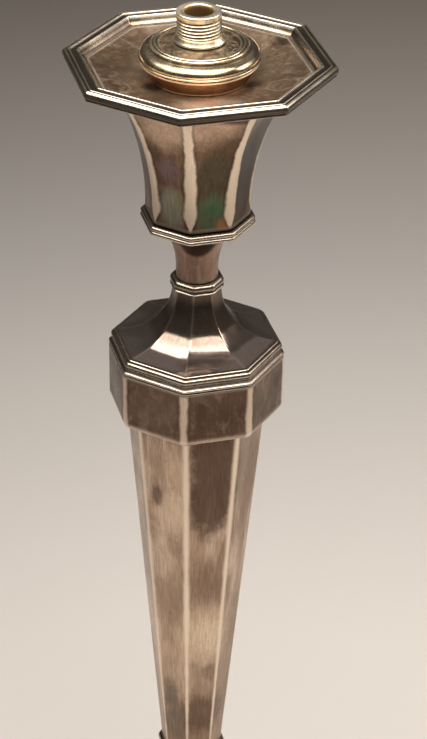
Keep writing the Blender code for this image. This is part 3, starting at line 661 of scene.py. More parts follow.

# heights and lengths are in mm, heights from the pan's ridge.
# rises and under: height where a tone starts, height where it is full, tone, share. Some, noted in the looks,
# are painted shade, painted highlight and painted reflection.
# corner: one width, or three heights each with its width. inside: the radius that "under" stays out of.
# marks: place, radius, squash in height, tone, share, waver, softness, and perhaps a noise scale. Most are
# stains; some, noted in the looks, are painted shade and painted reflection.
# rings: the same up to waver, then the line's width. They are painted reflections.
looks = {
    "column": {
        "deep": (0.29, 0.195, 0.135), "brown": (0.5, 0.365, 0.275), "pale": (0.74, 0.58, 0.46),
        "dirtAndShade": (0.11, 0.075, 0.05), "worn": cream, "scale": 30.0, "stretch": 0.55, "haze": 0.75,
        "blotch": 0.45, "seed": 0.11, "corner": ((-245, 0.7), (-165, 1.45), (-114, 1.6)), "cornerSoft": 0.9,
        "waver": 1.1, "waverScale": 90.0,
        # the first rise makes the column paler towards the foot; the second is a painted shadow under the
        # knop, with a brown tarnish line
        "rises": ((-165, -225, (0.56, 0.42, 0.31), 0.4), (-122, -115, (0.2, 0.135, 0.1), 0.6)),
        "marks": (
            # this first mark is a painted dark reflection on the front facet
            ((1, -17.5, -128), 10.5, 0.36, (0.095, 0.056, 0.038), 0.9, 5, 0.3, 150),
            ((1, -15.5, -172), 10, 0.8, (0.24, 0.16, 0.115), 0.8, 7, 0.8),
            ((1, -14, -194), 13, 0.8, (0.74, 0.59, 0.43), 0.75, 9, 0.8),
            ((3, -13, -211), 5, 1.0, (0.26, 0.19, 0.14), 0.8, 5, 0.6),
            ((0, -10, -229), 12, 1.0, (0.17, 0.11, 0.078), 0.9, 8, 0.6, 260),
            ((-13, -13, -124), 6, 0.7, (0.32, 0.22, 0.155), 0.4, 8, 0.6),
            ((-13.5, -9.5, -163), 9, 0.6, (0.76, 0.6, 0.46), 0.5, 7, 0.8),
            ((14, -14, -126), 10, 0.5, (0.26, 0.18, 0.13), 0.55, 5, 0.7),
            ((-9.5, -15.5, -127), 7, 0.45, (0.74, 0.54, 0.39), 0.6, 6, 0.8),
            ((-8.5, -13.5, -152), 4.5, 0.35, (0.26, 0.165, 0.12), 0.6, 6, 0.6),
            ((-11, -13, -145), 9, 0.6, (0.78, 0.6, 0.45), 0.65, 7, 0.8),
            ((-15, -11, -139), 2.6, 0.5, (0.15, 0.1, 0.075), 0.8, 3, 0.5),
            ((-9.5, -7.5, -222), 4.5, 0.5, (0.17, 0.13, 0.105), 0.8, 4, 0.6),
            ((-7.5, -7.5, -234), 6, 0.6, (0.22, 0.17, 0.14), 0.8, 4, 0.5),
        ),
    },
    "knop": {
        "deep": (0.105, 0.063, 0.043), "brown": (0.19, 0.125, 0.087), "pale": (0.34, 0.24, 0.175),
        "dirtAndShade": sootAndShade, "worn": blush, "corner": 1.6, "cornerSoft": 0.7, "waver": 1.6, "scale": 60.0,
        "stretch": 0.9, "haze": 0.6, "grain": 0.07, "seed": 0.43, "blotch": 0.45, "edge": 0.8,
        "edgeShare": 0.35, "streak": 0.7, "ragged": 1.0,
        # the first rise darkens the band towards its foot; the second is a painted highlight along the band's
        # bottom edge
        "rises": ((-99, -110, (0.06, 0.034, 0.022), 0.45), (-112.2, -112.9, (0.66, 0.52, 0.41), 0.85)),
        "marks": (
            ((-17.4, -17.4, -104), 12, 1.0, (0.27, 0.185, 0.13), 0.4, 6, 0.7),
        ),
    },
    "canopy": {
        "deep": (0.16, 0.12, 0.092), "brown": (0.23, 0.175, 0.135), "pale": (0.3, 0.235, 0.185),
        "dirtAndShade": (0.05, 0.035, 0.025), "worn": (0.62, 0.53, 0.45), "corner": 0.5, "cornerShare": 0.3,
        "waver": 0.3, "scale": 60.0, "stretch": 1.0, "haze": 0.5, "blotch": 0.4, "seed": 0.27,
        "rough": (0.14, 0.07), "hair": 0.02, "crest": 0.0, "grimeAndShadeShare": 0.0, "bump": 0.05, "grain": 0.12,
        "fleck": 0.35, "metal": 0.84, "ragged": 1.6,
        # the first rise paints the lower cove paler, a painted reflection of the paper behind; the second
        # darkens the cove towards the collar
        "rises": ((-85.8, -87.6, (0.36, 0.295, 0.27), 0.85), (-79, -75, (0.11, 0.075, 0.055), 0.8)),
        "marks": (
            ((6, -22.5, -86.5), 7, 1.0, (0.3, 0.21, 0.15), 0.5, 5, 0.8),
        ),
    },
    "capital": {
        "deep": (0.078, 0.044, 0.025), "brown": (0.165, 0.097, 0.058), "pale": (0.31, 0.2, 0.13),
        "dirtAndShade": sootAndShade, "worn": (0.9, 0.74, 0.58), "scale": 46.0, "stretch": 0.7, "haze": 0.55, "seed": 0.33,
        "corner": ((-47.1, 0.7), (-42.5, 2.2), (-6, 1.5)), "cornerSoft": 0.45, "cornerShare": 0.86,
        "waver": 1.9, "waverScale": 150.0, "edge": 0.9, "edgeShare": 0.45, "ragged": 20.0,
        "rises": ((-21, -9, (0.62, 0.43, 0.31), 0.75),),
        "marks": (
            ((-14.5, -14.5, -15), 9, 0.9, (0.66, 0.46, 0.32), 0.6, 7, 0.8),
            ((8, -24, -8), 12, 3.2, (0.075, 0.055, 0.045), 0.9, 3, 0.4),
            ((15, -12, -28), 14, 0.6, (0.04, 0.028, 0.018), 0.9, 5, 0.5),
            ((0.5, -15.5, -30), 8, 0.5, (0.075, 0.065, 0.04), 0.7, 4, 0.6),
            ((0, -14.8, -41.5), 6.4, 0.8, (0.1, 0.145, 0.085), 0.8, 3.0, 0.55),
            ((0.5, -14.8, -40.5), 3.2, 1.0, (0.04, 0.15, 0.07), 0.6, 2.5, 0.9),
            ((4.2, -14.8, -45.5), 3.6, 1.0, (0.42, 0.17, 0.07), 0.7, 3.0, 0.7),
            ((-10.4, -10.4, -41), 6, 0.7, (0.34, 0.34, 0.27), 0.7, 4.0, 0.6),
            ((-9.0, -12.6, -38.5), 2.4, 0.5, (0.26, 0.23, 0.08), 0.5, 2.0, 0.6),
            ((-11.2, -11.2, -28), 5, 0.8, (0.21, 0.135, 0.15), 0.7, 4.0, 0.7),
        ),
    },
    "neck": {
        "deep": (0.22, 0.135, 0.095), "brown": (0.4, 0.26, 0.19), "pale": (0.58, 0.42, 0.32), "dirtAndShade": sootAndShade,
        "worn": cream, "scale": 70.0, "stretch": 0.8, "seed": 0.9, "grain": 0.07,
        "marks": (
            # painted shade and a dark reflection of the canopy on the neck's upper front
            ((-2.2, -8.5, -53.5), 6.6, 0.9, (0.033, 0.018, 0.012), 0.95, 0.8, 0.25),
        ),
    },
    "moulding": {
        "deep": (0.15, 0.11, 0.085), "brown": (0.27, 0.21, 0.17), "pale": (0.42, 0.34, 0.28), "dirtAndShade": sootAndShade,
        "worn": (0.82, 0.69, 0.55), "scale": 90.0, "stretch": 1.0, "seed": 0.35, "crest": 0.8,
        "rough": (0.28, 0.18), "bump": 0.02, "fleck": 0.2,
    },
    "border": {
        "deep": (0.1, 0.08, 0.055), "brown": (0.17, 0.135, 0.1), "pale": (0.32, 0.255, 0.19), "dirtAndShade": sootAndShade,
        "worn": (0.9, 0.79, 0.64), "scale": 90.0, "stretch": 1.0, "seed": 0.2, "crest": 0.75,
        "rough": (0.24, 0.15), "bump": 0.0, "fleck": 0.12, "ragged": 0.4, "clean": (-0.75, -1.1),
        "rises": ((-0.7, -1.7, (0.29, 0.205, 0.135), 0.92),),
        # under: painted shade on the roll's underside, then a painted highlight line at its foot
        "under": ((-1.15, -1.65, (0.05, 0.034, 0.022), 0.93), (-2.5, -2.62, (0.72, 0.6, 0.47), 0.6)),
        "inside": 34.1,
        "marks": (
            ((0, 0, 0), 33.0, 1.0, (0.62, 0.49, 0.36), 0.55, 1.5, 0.05),
        ),
    },
    "pan": {
        "deep": (0.17, 0.107, 0.062), "brown": (0.37, 0.255, 0.165), "pale": (0.68, 0.52, 0.37),
        "dirtAndShade": (0.07, 0.04, 0.022), "worn": cream, "scale": 75.0, "stretch": 1.0, "haze": 0.7, "seed": 0.63,
        "rough": (0.46, 0.32), "blotch": 0.55, "fleck": 0.55, "warp": 1.2,
        "marks": (
            ((0, -2, -6), 25, 1.0, (0.62, 0.46, 0.31), 0.55, 9, 0.6),
            ((-3, -22, -5.0), 13, 1.0, (0.98, 0.78, 0.58), 0.92, 5, 0.75),
            # these two dark patches beside the socket are painted shade and a dark reflection of the cap,
            # with some dirt
            ((-14.5, -4.5, -6), 4.5, 1.0, (0.05, 0.03, 0.018), 0.85, 3, 0.7),
            ((13, -9.5, -6), 4, 1.0, (0.05, 0.03, 0.018), 0.85, 3, 0.7),
            ((28, 11, -2.6), 5, 1.0, (0.05, 0.03, 0.024), 0.8, 6, 0.7, 380),
            ((0, 31, -2), 14, 1.0, (0.72, 0.58, 0.42), 0.5, 7, 0.8),
        ),
        # painted reflections of the lips above the dish
        "rings": (
            ((-24.8, -5.6, -2.8), 4.0, 1.0, (0.8, 0.66, 0.5), 0.38, 2.6, 0.5),
            ((19.5, -14.6, -2.8), 4.4, 1.0, (0.8, 0.66, 0.5), 0.38, 2.8, 0.5),
        ),
    },
    "mouth": {
        "deep": (0.145, 0.064, 0.027), "brown": (0.225, 0.109, 0.051), "pale": (0.355, 0.205, 0.11),
        "dirtAndShade": (0.08, 0.04, 0.02), "worn": (0.88, 0.68, 0.5), "scale": 80.0, "stretch": 1.0, "seed": 0.52,
        "fleck": 0.85, "rough": (0.5, 0.38),
    },
    "cap": {
        "deep": (0.22, 0.162, 0.097), "brown": (0.44, 0.34, 0.21), "pale": (0.74, 0.61, 0.42),
        "dirtAndShade": (0.05, 0.035, 0.018), "worn": (0.95, 0.81, 0.58), "scale": 60.0, "stretch": 1.0, "seed": 0.15,
        "haze": 0.7, "crest": 0.8, "rough": (0.27, 0.15), "bump": 0.02, "fleck": 0.6, "blotch": 0.6,
    },
    "plate": {
        "deep": (0.06, 0.042, 0.024), "brown": (0.42, 0.29, 0.175), "pale": (0.74, 0.55, 0.36), "metal": 0.8,
        "dirtAndShade": (0.02, 0.018, 0.012), "worn": (0.66, 0.58, 0.44), "scale": 200.0, "stretch": 1.0, "seed": 0.6,
        "blotch": 0.8, "fleck": 0.95, "rough": (0.46, 0.28), "haze": 0.7,
    },
    "nipple": {
        "deep": (0.52, 0.4, 0.25), "brown": (0.72, 0.59, 0.4), "pale": (0.9, 0.77, 0.56),
        "dirtAndShade": (0.15, 0.085, 0.035), "worn": (0.97, 0.87, 0.67), "scale": 120.0, "stretch": 1.0,
        "seed": 0.83, "crest": 0.9, "grimeAndShadeShare": 0.9, "fleck": 0.4, "rough": (0.4, 0.28), "bump": 0.03,
        "marks": (
            ((-0.4, 0, 9.5), 5.5, 0.5, (0.75, 0.45, 0.17), 0.95, 0.6, 0.2),
        ),
    },
    "foot": {
        "deep": (0.17, 0.125, 0.095), "brown": (0.32, 0.25, 0.2), "pale": (0.5, 0.41, 0.34), "dirtAndShade": sootAndShade,
        "worn": cream, "corner": 1.3, "scale": 32.0, "stretch": 1.0, "haze": 0.5, "seed": 0.37,
    },
}
silver = {name: silverMaterial(name + "Plate", look) for name, look in looks.items()}

fittings = {
    "steel": {"dark": (0.16, 0.15, 0.14), "light": (0.48, 0.47, 0.45), "scale": 300.0, "rough": (0.55, 0.35),
              "bump": 0.04, "metal": 1.0},
    "brass": {"dark": (0.24, 0.16, 0.07), "light": (0.62, 0.48, 0.24), "scale": 240.0, "rough": (0.48, 0.28),
              "bump": 0.03, "metal": 1.0},
    "pitch": {"dark": (0.02, 0.015, 0.012), "light": (0.10, 0.075, 0.055), "scale": 160.0,
              "rough": (0.9, 0.55), "bump": 0.3, "cell": 0.3},
    "cork": {"dark": (0.16, 0.08, 0.035), "light": (0.50, 0.32, 0.17), "scale": 420.0, "rough": (0.95, 0.8),
             "bump": 0.25, "cell": 0.8},
    "baize": {"dark": (0.015, 0.06, 0.03), "light": (0.06, 0.17, 0.09), "scale": 1500.0, "rough": (1.0, 0.9),
              "bump": 0.2, "cell": 0.2},
}
fitting = {name: plainMaterial(name, look) for name, look in fittings.items()}
print("materials made:", len(silver) + len(fitting))


nipple = {
    "flangeDrop": 8.7,      # from the top to the skirt's foot
    "stem": 5.0,
    # radius, height, rub, grime (dirt and painted shade)
    "stemFoot": ((4.1, 0.4, 0.2, 0.4), (4.4, 0.0, 0.6, 0.0), (4.7, 0.0, 0.8, 0.0)),
    "stemThread": {"depth": 0.42, "pitch": 1.0, "steps": 110, "start": 0.3, "short": 8.3},
    "skirt": ((7.15, 0.0, 0.3, 0.8), (7.35, 0.08, 1, 0.2), (7.4, 0.25, 1, 0), (7.38, 0.45, 1, 0),
              (7.25, 0.62, 0.5, 0), (7.0, 0.95, 0.1, 0), (6.7, 1.4, 0, 0), (6.5, 1.8, 0, 0.2),
              (6.3, 2.0, 0, 0.5), (5.95, 2.15, 0, 1)),
    "thread": {"crest": 6.3, "depth": 0.55, "pitch": 25.4 / 26, "steps": 66, "start": 2.2, "length": 5.15,
               "runOut": 12},
    "lip": (5.8, -0.55, 0.55, -10, 90, 8),
    "mouth": ((5.2, 0.0, 1, 0), (4.6, 0.0, 1, 0), (4.3, 0.12, 0.8, 0), (4.12, 0.4, 0.2, 0.3),
              (4.08, 1.0, 0, 0.9), (4.05, 2.0, 0, 1), (4.05, 8.0, 0, 1), (4.05, 30.0, 0, 1)),
    "lean": 0.45,           # how far the top stands off the axis
    "leanFrom": 0.6,
    "steps": 120,
}


def threadDip(z, turn, pitch, depth):
    # rounded V groove that climbs one pitch each turn
    phase = (z / pitch - turn / (2 * math.pi)) % 1.0
    return depth * (0.5 + 0.5 * math.cos(2 * math.pi * phase)) ** 0.8


def nippleRows(low, high, flange):
    # radius, height, thread depth, thread pitch, rub and grime (dirt and painted shade), from the stem's foot
    # to the bore
    rows = [(r, low + z, 0, 1, rub, grimeAndShade) for r, z, rub, grimeAndShade in nipple["stemFoot"]]
    cut = nipple["stemThread"]
    for k in range(cut["steps"] + 1):
        z = low + cut["start"] + (flange - low - cut["short"]) * k / cut["steps"]
        rows.append((nipple["stem"], z, cut["depth"], cut["pitch"], 0.3, 0.1))
    rows.append((nipple["stem"], flange, 0, 1, 0, 0.5))
    rows += [(r, flange + z, 0, 1, rub, grimeAndShade) for r, z, rub, grimeAndShade in nipple["skirt"]]
    cut = nipple["thread"]
    for k in range(cut["steps"] + 1):
        share = k / cut["steps"]
        z = flange + cut["start"] + cut["length"] * share
        fade = min(1.0, share * cut["runOut"], (1 - share) * cut["runOut"])
        rows.append((cut["crest"], z, cut["depth"] * fade, cut["pitch"], 0, 0))
    rows += [(r, z, 0, 1, 1, 0) for r, z in outline([nipple["lip"]], z=high)]
    rows += [(r, high - z, 0, 1, rub, grimeAndShade) for r, z, rub, grimeAndShade in nipple["mouth"]]
    return rows


def lampNipple():
    low, high, _ = nodeSpan("lamp_nipple")
    flange = high - nipple["flangeDrop"]
    steps = nipple["steps"]
    points, rub, grimeAndShade = [], [], []
    for radius, z, depth, pitch, proud, sunk in nippleRows(low, high, flange):
        lean = -nipple["lean"] * max(0.0, z - flange - nipple["leanFrom"]) / (high - flange)
        for k in range(steps):
            turn = 2 * math.pi * k / steps
            dip = threadDip(z, turn, pitch, depth) if depth else 0.0
            r = radius - dip
            points.append(((r * math.cos(turn) + lean) * mm, r * math.sin(turn) * mm, z * mm))
            share = dip / depth if depth else 0.0
            rub.append(max(proud, 1 - 2.2 * share) if depth else proud)
            grimeAndShade.append(max(sunk, 2.0 * share - 1.0) if depth else sunk)
    mesh = wornMesh("lampNipple", points, steps, rub, grimeAndShade, silver["nipple"])
    place("lampNipple", mesh, "adaptor", "lamp_brass", ["lamp_nipple"])


cap = {
    "bore": 5.35,
    "under": ((0.0, 0.05), (11.05, 0.05), (11.5, 0.12), (11.5, 0.42, 0.30, -80, 85), (11.47, 0.82)),
    "shoulder": (8.65, 0.9, 2.98, 4, 84, 12, 2.55),
    "rings": ((8.67, 3.40), (8.57, 3.48), (8.07, 4.06, 0.44, -20, 160, 8), (7.63, 4.28),
              (7.2, 4.36, 0.38, 10, 150, 7)),
    "plate": ((6.75, 4.34), (5.95, 4.36), (5.75, 4.33), (5.6, 4.27), (5.45, 4.34), (4.25, 4.48), (3.25, 4.66),
              (2.35, 4.86), (0.0, 4.95)),
    "plateEdge": 12.2,
    "plateFoot": 4.2,
}


def adaptorCap():
    low, _, _ = nodeSpan("adaptor_cap")
    line = outline((*cap["under"], cap["shoulder"], *cap["rings"], *cap["plate"]), cap["bore"], low)
    piece = skin("adaptorCap", line, silver["cap"], "adaptor", "adaptor_plate", "adaptor_cap", wide=0.4)
    piece.data.materials.append(silver["plate"])
    for face in piece.data.polygons:
        spot = face.center
        if spot.z > (low + cap["plateFoot"]) * mm and math.hypot(spot.x, spot.y) < cap["plateEdge"] * mm:
            face.material_index = 1


mouth = {
    "foot": ((12.9, 0.05), (13.6, 0.0), (13.75, 0.15), (13.95, 0.42), (13.95, 0.62)),
    "wall": (13.98, 16.40, 0.80, 4.70, 0.9, 12),        # radii, heights, power, steps
    "lip": ((16.45, 4.95, 0.3, -60, 110), (15.9, 5.2), (15.6, 4.8), (13.6, 1.2), (12.75, 0.5)),
}


def socketMouth():
    low, _, _ = nodeSpan("socket_mouth")
    line = outline(mouth["foot"]) + sweepLine(*mouth["wall"]) + outline(mouth["lip"])
    line = [(r, z + low) for r, z in line]
    skin("socketMouth", line, silver["mouth"], "nozzle", "pan_plate", "socket_mouth", wide=0.35)


pan = {
    "hub": 12.55,
    "seat": 13.6,
    "sheet": 0.88,
    "lift": 0.9,
    "rim": 14.2,        # where the dish's inner end lies
    "sag": 0.10,
    "steps": 22,
    "fillet": 0.8,
}


def dripPan():
    low, high, edge = nodeSpan("drip_pan")
    hub, seat, sheet = pan["hub"], pan["seat"], pan["sheet"]
    rise = high - low - pan["lift"]
    line = [(hub, low), (seat, low), (edge, low + rise)]
    for k in range(pan["steps"] + 1):
        r = edge + (pan["rim"] - edge) * k / pan["steps"]
        share = (r - seat) / (edge - seat)
        line.append((r, low + sheet + rise * (share - pan["sag"] * math.sin(math.pi * share))))
    line += [(seat, low + sheet), (hub, low + sheet)]

    def easing(r):
        # octagonal at the border, nearly round at the hub
        share = max(0.0, min(1.0, (r - 14.0) / (edge - 14.0)))
        return pan["fillet"] + r * flatShare * 0.96 * (1 - share) ** 1.6
    skin("dripPan", line, silver["pan"], "nozzle", "pan_plate", "drip_pan", fillet=easing, wide=0.5)


border = {
    # from the corner radius and the ridge's top
    "inner": 32.05,
    "under": (36.8, -3.25),
    "roll": ((-0.72, -2.95, 0.24, -90, 50), (-0.62, -2.62), (-1.42, -1.42, 1.42, -50, 70, 12), (-1.05, -0.36),
             (-1.95, -0.30, 0.30, 10, 160), (-2.5, -0.62), (-4.0, -0.62), (-4.5, -0.32, 0.30, 20, 160)),
    "bevelStart": (-5.05, -0.5),
    "bevelSize": (1.35, 1.75),
    "bevelPower": 1.7,
    "bevelSteps": 8,
    "fillet": 1.1,
}


def panBorder():
    _, high, corner = nodeSpan("pan_border")
    inner, (out, down), (wide, deep) = border["inner"], border["bevelStart"], border["bevelSize"]
    line = [(inner, high - 3.2)] + outline([border["under"]], z=high) + outline(border["roll"], corner, high)
    for k in range(1, border["bevelSteps"] + 1):
        t = k / border["bevelSteps"]
        line.append((corner + out - wide * t, high + down - deep * (1 - (1 - t) ** border["bevelPower"])))
    line += [(inner, high - 2.4)]
    skin("panBorder", line, silver["border"], "nozzle", "pan_plate", "pan_border", fillet=border["fillet"],
         wide=0.6)


socket = {
    "foot": ((5.4, 0.0), (11.2, 1.0, 1.0, -90, 0), (12.2, 14.0)),
    "rim": ((12.2, -0.05), (11.3, -0.05)),
    "inside": ((11.3, 2.0), (10.9, 1.1), (10.2, 0.9), (5.4, 0.9)),
}


def candleSocket():
    low, high, _ = nodeSpan("candle_socket")
    line = outline(socket["foot"], z=low) + outline(socket["rim"], z=high) + outline(socket["inside"], z=low)
    skin("candleSocket", line, silver["neck"], "nozzle", "pan_plate", "candle_socket", wide=0.5)


plug = {
    "foot": ((5.4, 0.05), (9.6, 0.8, 0.75, -90, -20, 4), (11.0, 3.0)),
    "waist": 10.98,
    "top": ((10.6, -0.45, 0.4, 0, 90, 4), (5.4, 0.0)),
}


def adaptorPlug():
    low, high, _ = nodeSpan("adaptor_plug")
    line = outline(plug["foot"], z=low) + [(plug["waist"], (low + high) / 2)] + outline(plug["top"], z=high)
    skin("adaptorPlug", line, fitting["cork"], "adaptor", "cork", "adaptor_plug")


capital = {"foot": 15.6, "mouth": 28.0, "power": 2.25, "steps": 30, "fillet": 3.6, "seam": (0.9, 3.0)}


def capitalShell():
    low, high, _ = nodeSpan("capital_shell")
    outer = sweepLine(capital["foot"], capital["mouth"], low, high, capital["power"], capital["steps"])
    skin("capitalShell", closeSheet(outer), silver["capital"], "stick", "silver_plate", "capital_shell",
         fillet=capital["fillet"], seam=capital["seam"])


mouldings = {
    # "outline" is measured from the corner radius and the foot, "top" from the corner radius and the
    # top, "seat" from the axis and the foot; "bore" closes it, and inside "hub" it is nearly round
    "capital_lip": {
        "name": "capitalLip", "fillet": 1.4,
        "outline": ((-1.8, 0.0), (-0.9, 0.0), (-0.75, 0.45, 0.42, -80, 60), (-0.65, 1.0),
                    (-0.55, 1.65, 0.52, -60, 80)),
        "top": ((-1.0, 0.0), (-1.8, 0.0))},
    "capital_base_moulding": {
        "name": "capitalBase", "fillet": 2.0, "hub": 14, "bore": 5.4, "seat": ((9.5, 0.0), (14.6, 0.05)),
        "outline": ((-0.72, 0.72, 0.68, -80, 62, 8), (-0.62, 1.46), (-0.86, 2.12, 0.72, -62, 88, 9)),
        "top": ((-1.3, -0.2),)},
    "neck_collar": {
        "name": "neckCollar", "fillet": 2.2, "hub": 7, "bore": 5.4,
        "outline": ((-0.9, 0.0), (-0.40, 0.30, 0.30, -90, 70), (-0.55, 0.66),
                    (-1.42, 1.95, 1.26, -62, 96, 12)),
        "top": ((-2.0, 0.1),)},
    "knop_moulding": {
        "name": "knopMoulding", "fillet": 1.7, "bore": 22.0,
        "outline": ((-0.9, 0.0), (-0.46, 0.5, 0.44, -90, 60, 7), (-0.62, 1.05), (-0.72, 1.25),
                    (-1.1, 1.62, 0.3, -50, 40, 4), (-1.02, 2.05), (-1.72, 3.0, 0.98, -58, 74, 10),
                    (-1.62, 4.02), (-1.76, 4.05), (-2.22, 4.22, 0.42, 0, 110, 7)),
        "top": ((-2.8, -0.12),)},
    "lower_collar": {
        "name": "lowerCollar", "fillet": 1.8, "bore": 5.4,
        "outline": ((-1.4, 0.0), (-0.75, 0.36, 0.34, -90, 60, 5), (-0.75, 0.78),
                    (-1.42, 2.2, 1.4, -66, 90, 12)),
        "top": ((-1.9, 0.05),)},
    "foot_ring": {
        "name": "footRing", "fillet": 1.8, "bore": 30.0,
        "outline": ((-0.9, 0.0), (-0.55, 0.55, 0.5, -90, 70, 7), (-0.8, 1.2), (-1.25, 1.9),
                    (-1.6, 2.5, 0.45, -60, 85, 7), (-2.1, 3.0), (-2.55, 3.3, 0.36, -10, 110, 5)),
        "top": ((-3.0, 0.0),)},
    "base_border": {
        "name": "footBorder", "finish": "border", "fillet": 2.0,
        "outline": ((-4.15, 0.0), (-1.5, 0.0), (-1.6, 1.6, 1.58, -80, 50, 12), (-0.95, 2.95),
                    (-1.45, 3.35, 0.42, -10, 100), (-2.1, 3.75), (-2.9, 4.0)),
        "top": ((-3.6, 0.0), (-4.15, 0.0))},
}


def moulding(node):
    shape = mouldings[node]
    low, high, corner = nodeSpan(node)
    line = outline(shape.get("seat", ()), z=low) + outline(shape["outline"], corner, low)
    line += outline(shape["top"], corner, high)
    if "bore" in shape:
        line = [(shape["bore"], low)] + line + [(shape["bore"], line[-1][1])]
    fillet = hubEasing(shape["fillet"], shape["hub"]) if "hub" in shape else shape["fillet"]
    skin(shape["name"], line, silver[shape.get("finish", "moulding")], "stick", "silver_plate", node,
         fillet=fillet)


neckShape = {
    "waist": 6.1,
    "flare": 4.7,
    "power": 2.5,
    "heel": 0.15,
    "tuck": 0.2,        # into the collar below
    "steps": 24,
    "bore": 5.35,
    "throat": 5.5,
    "throatFoot": 4.0,
    "seam": (0.7, 6.5),
}


def neck():
    low, high, _ = nodeSpan("neck")
    foot = low - neckShape["tuck"]
    line = []
    for k in range(neckShape["steps"] + 1):
        t = k / neckShape["steps"]
        swell = neckShape["flare"] * t ** neckShape["power"] + neckShape["heel"] * (1 - t) ** 6
        line.append((neckShape["waist"] + swell, foot + (high - foot) * t))
    line += [(neckShape["throat"], high), (neckShape["bore"], low + neckShape["throatFoot"]),
             (neckShape["bore"], foot)]
    skin("neckPiece", line, silver["neck"], "stick", "silver_plate", "neck", seam=neckShape["seam"])


canopyShape = {
    "setIn": 2.55,      # from the moulding's corners
    "throat": 7.4,
    "above": 0.35,      # past the collar's foot
    "steps": 36,
    "inside": ((6.5, 9.0), (12.0, 3.0)),
    "fillet": 1.1,
}


def canopy():
    # a quarter-round cove from level at the moulding to upright at the collar
    _, high, _ = nodeSpan("shoulder_canopy")
    _, low, corner = nodeSpan("knop_moulding")
    corner -= canopyShape["setIn"]
    rise = high - low + canopyShape["above"]
    line = []
    for k in range(canopyShape["steps"] + 1):
        a = math.radians(1 + 89 * k / canopyShape["steps"])
        line.append((corner - (corner - canopyShape["throat"]) * math.sin(a),
                     low - 0.05 + rise * (1 - math.cos(a))))
    inside = outline(canopyShape["inside"], z=low)
    line += [(inside[0][0], line[-1][1])] + inside + [(corner - 3.0, low - 0.07)]
    skin("shoulderCanopy", line, silver["canopy"], "stick", "silver_plate", "shoulder_canopy",
         fillet=lambda r: min(canopyShape["fillet"], r * 0.5), seam=(0.0, 0.4))


band = {
    "foot": ((-1.2, 0.05), (-0.95, 0.62, 0.55, -80, -20, 4), (-0.05, 1.3), (0.0, 1.9)),
    "top": ((0.0, -1.0), (-0.6, -0.6, 0.6, 5, 80, 4), (-1.2, 0.0)),
    "inside": ((-1.25, 2.0),),
    "fillet": 3.2,
    "soffitFillet": 3.0,
    "soffitHub": 20,
    "bore": 5.4,
}


def knopBand():
    low, high, corner = nodeSpan("knop_band")
    line = outline(band["foot"], corner, low) + outline(band["top"], corner, high)
    skin("knopBand", line + outline(band["inside"], corner, low), silver["knop"], "stick", "silver_plate",
         "knop_band", fillet=band["fillet"], seam=(0.0, 0.5))


def knopSoffit():
    low, high, corner = nodeSpan("knop_soffit")
    line = [(band["bore"], low), (corner, low), (corner, high), (band["bore"], high)]
    skin("knopSoffit", line, silver["knop"], "stick", "silver_plate", "knop_soffit",
         fillet=hubEasing(band["soffitFillet"], band["soffitHub"], 0.95))


column = {"foot": 10.05, "top": 21.6, "steps": 30, "tuck": 0.2, "filletFoot": 2.4, "filletTop": 4.0,
          "seam": (0.8, 1.6)}


def columnShell():
    low, high, corner = nodeSpan("column_shell")
    foot, top = low - column["tuck"], high + column["tuck"]
    outer = sweepLine(column["foot"], corner, foot, top, 1.0, column["steps"])

    def easing(r):
        t = (r - column["foot"]) / (column["top"] - column["foot"])
        return column["filletFoot"] + (column["filletTop"] - column["filletFoot"]) * t
    skin("columnShell", closeSheet(outer), silver["column"], "stick", "silver_plate", "column_shell",
         fillet=easing, seam=column["seam"])


flare = {"top": 9.8, "power": 2.2, "steps": 36, "tuck": 0.2, "fillet": 1.8}


def footFlare():
    low, high, corner = nodeSpan("foot_flare")
    outer = sweepLine(corner, flare["top"], low - flare["tuck"], high + flare["tuck"], flare["power"],
                      flare["steps"])
    skin("footFlare", closeSheet(outer), silver["foot"], "stick", "silver_plate", "foot_flare",
         fillet=flare["fillet"], seam=(0.0, 0.6))


foot = {
    "plinth": ((0.0, 0.0), (0.0, 6.0), (0.0, 12.0), (0.0, 15.9), (-0.55, 16.3, 0.55, 0, 80, 5), (-1.3, 17.0),
               (-1.5, 17.25), (-2.4, 17.25, 0.75, 40, 110, 5)),
    "step": (-3.2, 17.8),
    "domeTop": 33.5,
    "domePower": 1.3,
    "fillet": 2.4,
    "holeRadius": 4.0,
    "holeSteps": 32,
}


def footShell():
    low, high, corner = nodeSpan("base_shell")
    out, up = foot["step"]
    outer = outline(foot["plinth"], corner, low)
    outer += sweepLine(corner + out, foot["domeTop"], low + up, high, foot["domePower"])
    shell = skin("footShell", closeSheet(outer), silver["foot"], "stick", "silver_plate", "base_shell",
                 fillet=foot["fillet"], seam=(0.8, 0.4))
    cutCordHole(shell)


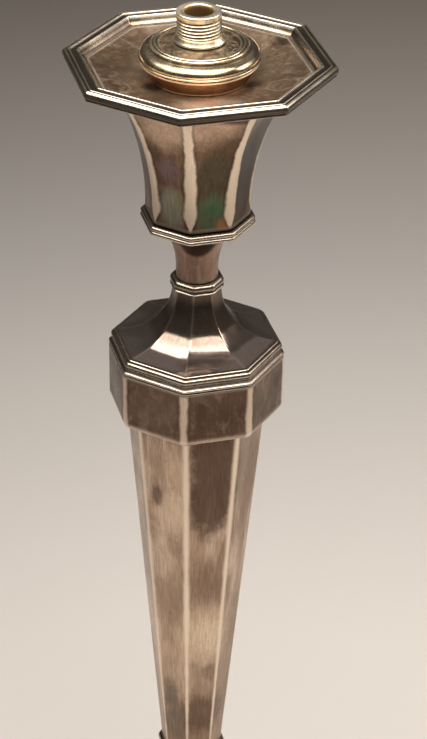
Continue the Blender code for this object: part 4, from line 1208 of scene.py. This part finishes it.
def cutCordHole(shell):
    # the round opening in the back wall where the cord's bush sits
    low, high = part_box("cord_bush")
    middle = (low.z + high.z) / 2
    radius, steps = foot["holeRadius"] * mm, foot["holeSteps"]
    points = []
    for y in (low.y, high.y + 5 * mm):
        for k in range(steps):
            a = 2 * math.pi * k / steps
            points.append((radius * math.sin(a), y, middle + radius * math.cos(a)))
    faces = [tuple(reversed(range(steps))), tuple(range(steps, 2 * steps))] + ringFaces(2, steps)[:steps]
    mesh = bpy.data.meshes.new("cordHole")
    mesh.from_pydata(points, [], faces)
    drill = bpy.data.objects.new("cordHole", mesh)
    bpy.context.scene.collection.objects.link(drill)
    cut = shell.modifiers.new("cordHole", "BOOLEAN")
    cut.operation, cut.solver, cut.object = "DIFFERENCE", "EXACT", drill
    shell.data = bpy.data.meshes.new_from_object(shell.evaluated_get(bpy.context.evaluated_depsgraph_get()))
    shell.modifiers.clear()
    bpy.data.objects.remove(drill)


baize = {
    "hole": 2.0,
    "rings": 12,
    "octagonShare": 0.828,      # of the square round it
    "foot": ((-0.45, 0.45, 0.45, -90, 0, 4),),
    "top": ((-0.35, -0.35, 0.35, 0, 90, 3),),
    "fillet": 2.0,
}


def baizePad():
    low, high, corner = nodeSpan("baize_pad")
    rings = [corner * k / baize["rings"] for k in range(2, baize["rings"])]
    line = [(baize["hole"], low)] + [(r, low) for r in rings] + outline(baize["foot"], corner, low)
    line += outline(baize["top"], corner, high) + [(r, high) for r in reversed(rings)]
    line += [(baize["hole"], high)]
    pad = skin("baizePad", line, fitting["baize"], "stick", "baize", "baize_pad", fillet=baize["fillet"])


carried = {
    "steel": ["tie_tube", "base_plate", "capital_floor", "lower_washer", "upper_washer", "plug_washer"],
    "brass": ["lower_nut", "upper_nut", "nipple_nut", "cord_bush", "cord_bush_nut"],
    "pitch": ["base_loading", "column_loading", "knop_loading"],
}


def finishCarried():
    for finish, names in carried.items():
        for name in names:
            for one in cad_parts[name].material_slots:
                one.material = fitting[finish]


lampNipple()
adaptorCap()
socketMouth()
dripPan()
panBorder()
candleSocket()
adaptorPlug()
print("nozzle and adaptor made")
capitalShell()
moulding("capital_lip")
moulding("capital_base_moulding")
neck()
moulding("neck_collar")
print("capital and neck made")
canopy()
moulding("knop_moulding")
knopBand()
knopSoffit()
columnShell()
print("knop and column made")
moulding("lower_collar")
footFlare()
moulding("foot_ring")
footShell()
moulding("base_border")
baizePad()
print("foot made")
finishCarried()
makeCamera()
makeFloor()
makeLights()
print("studio made")
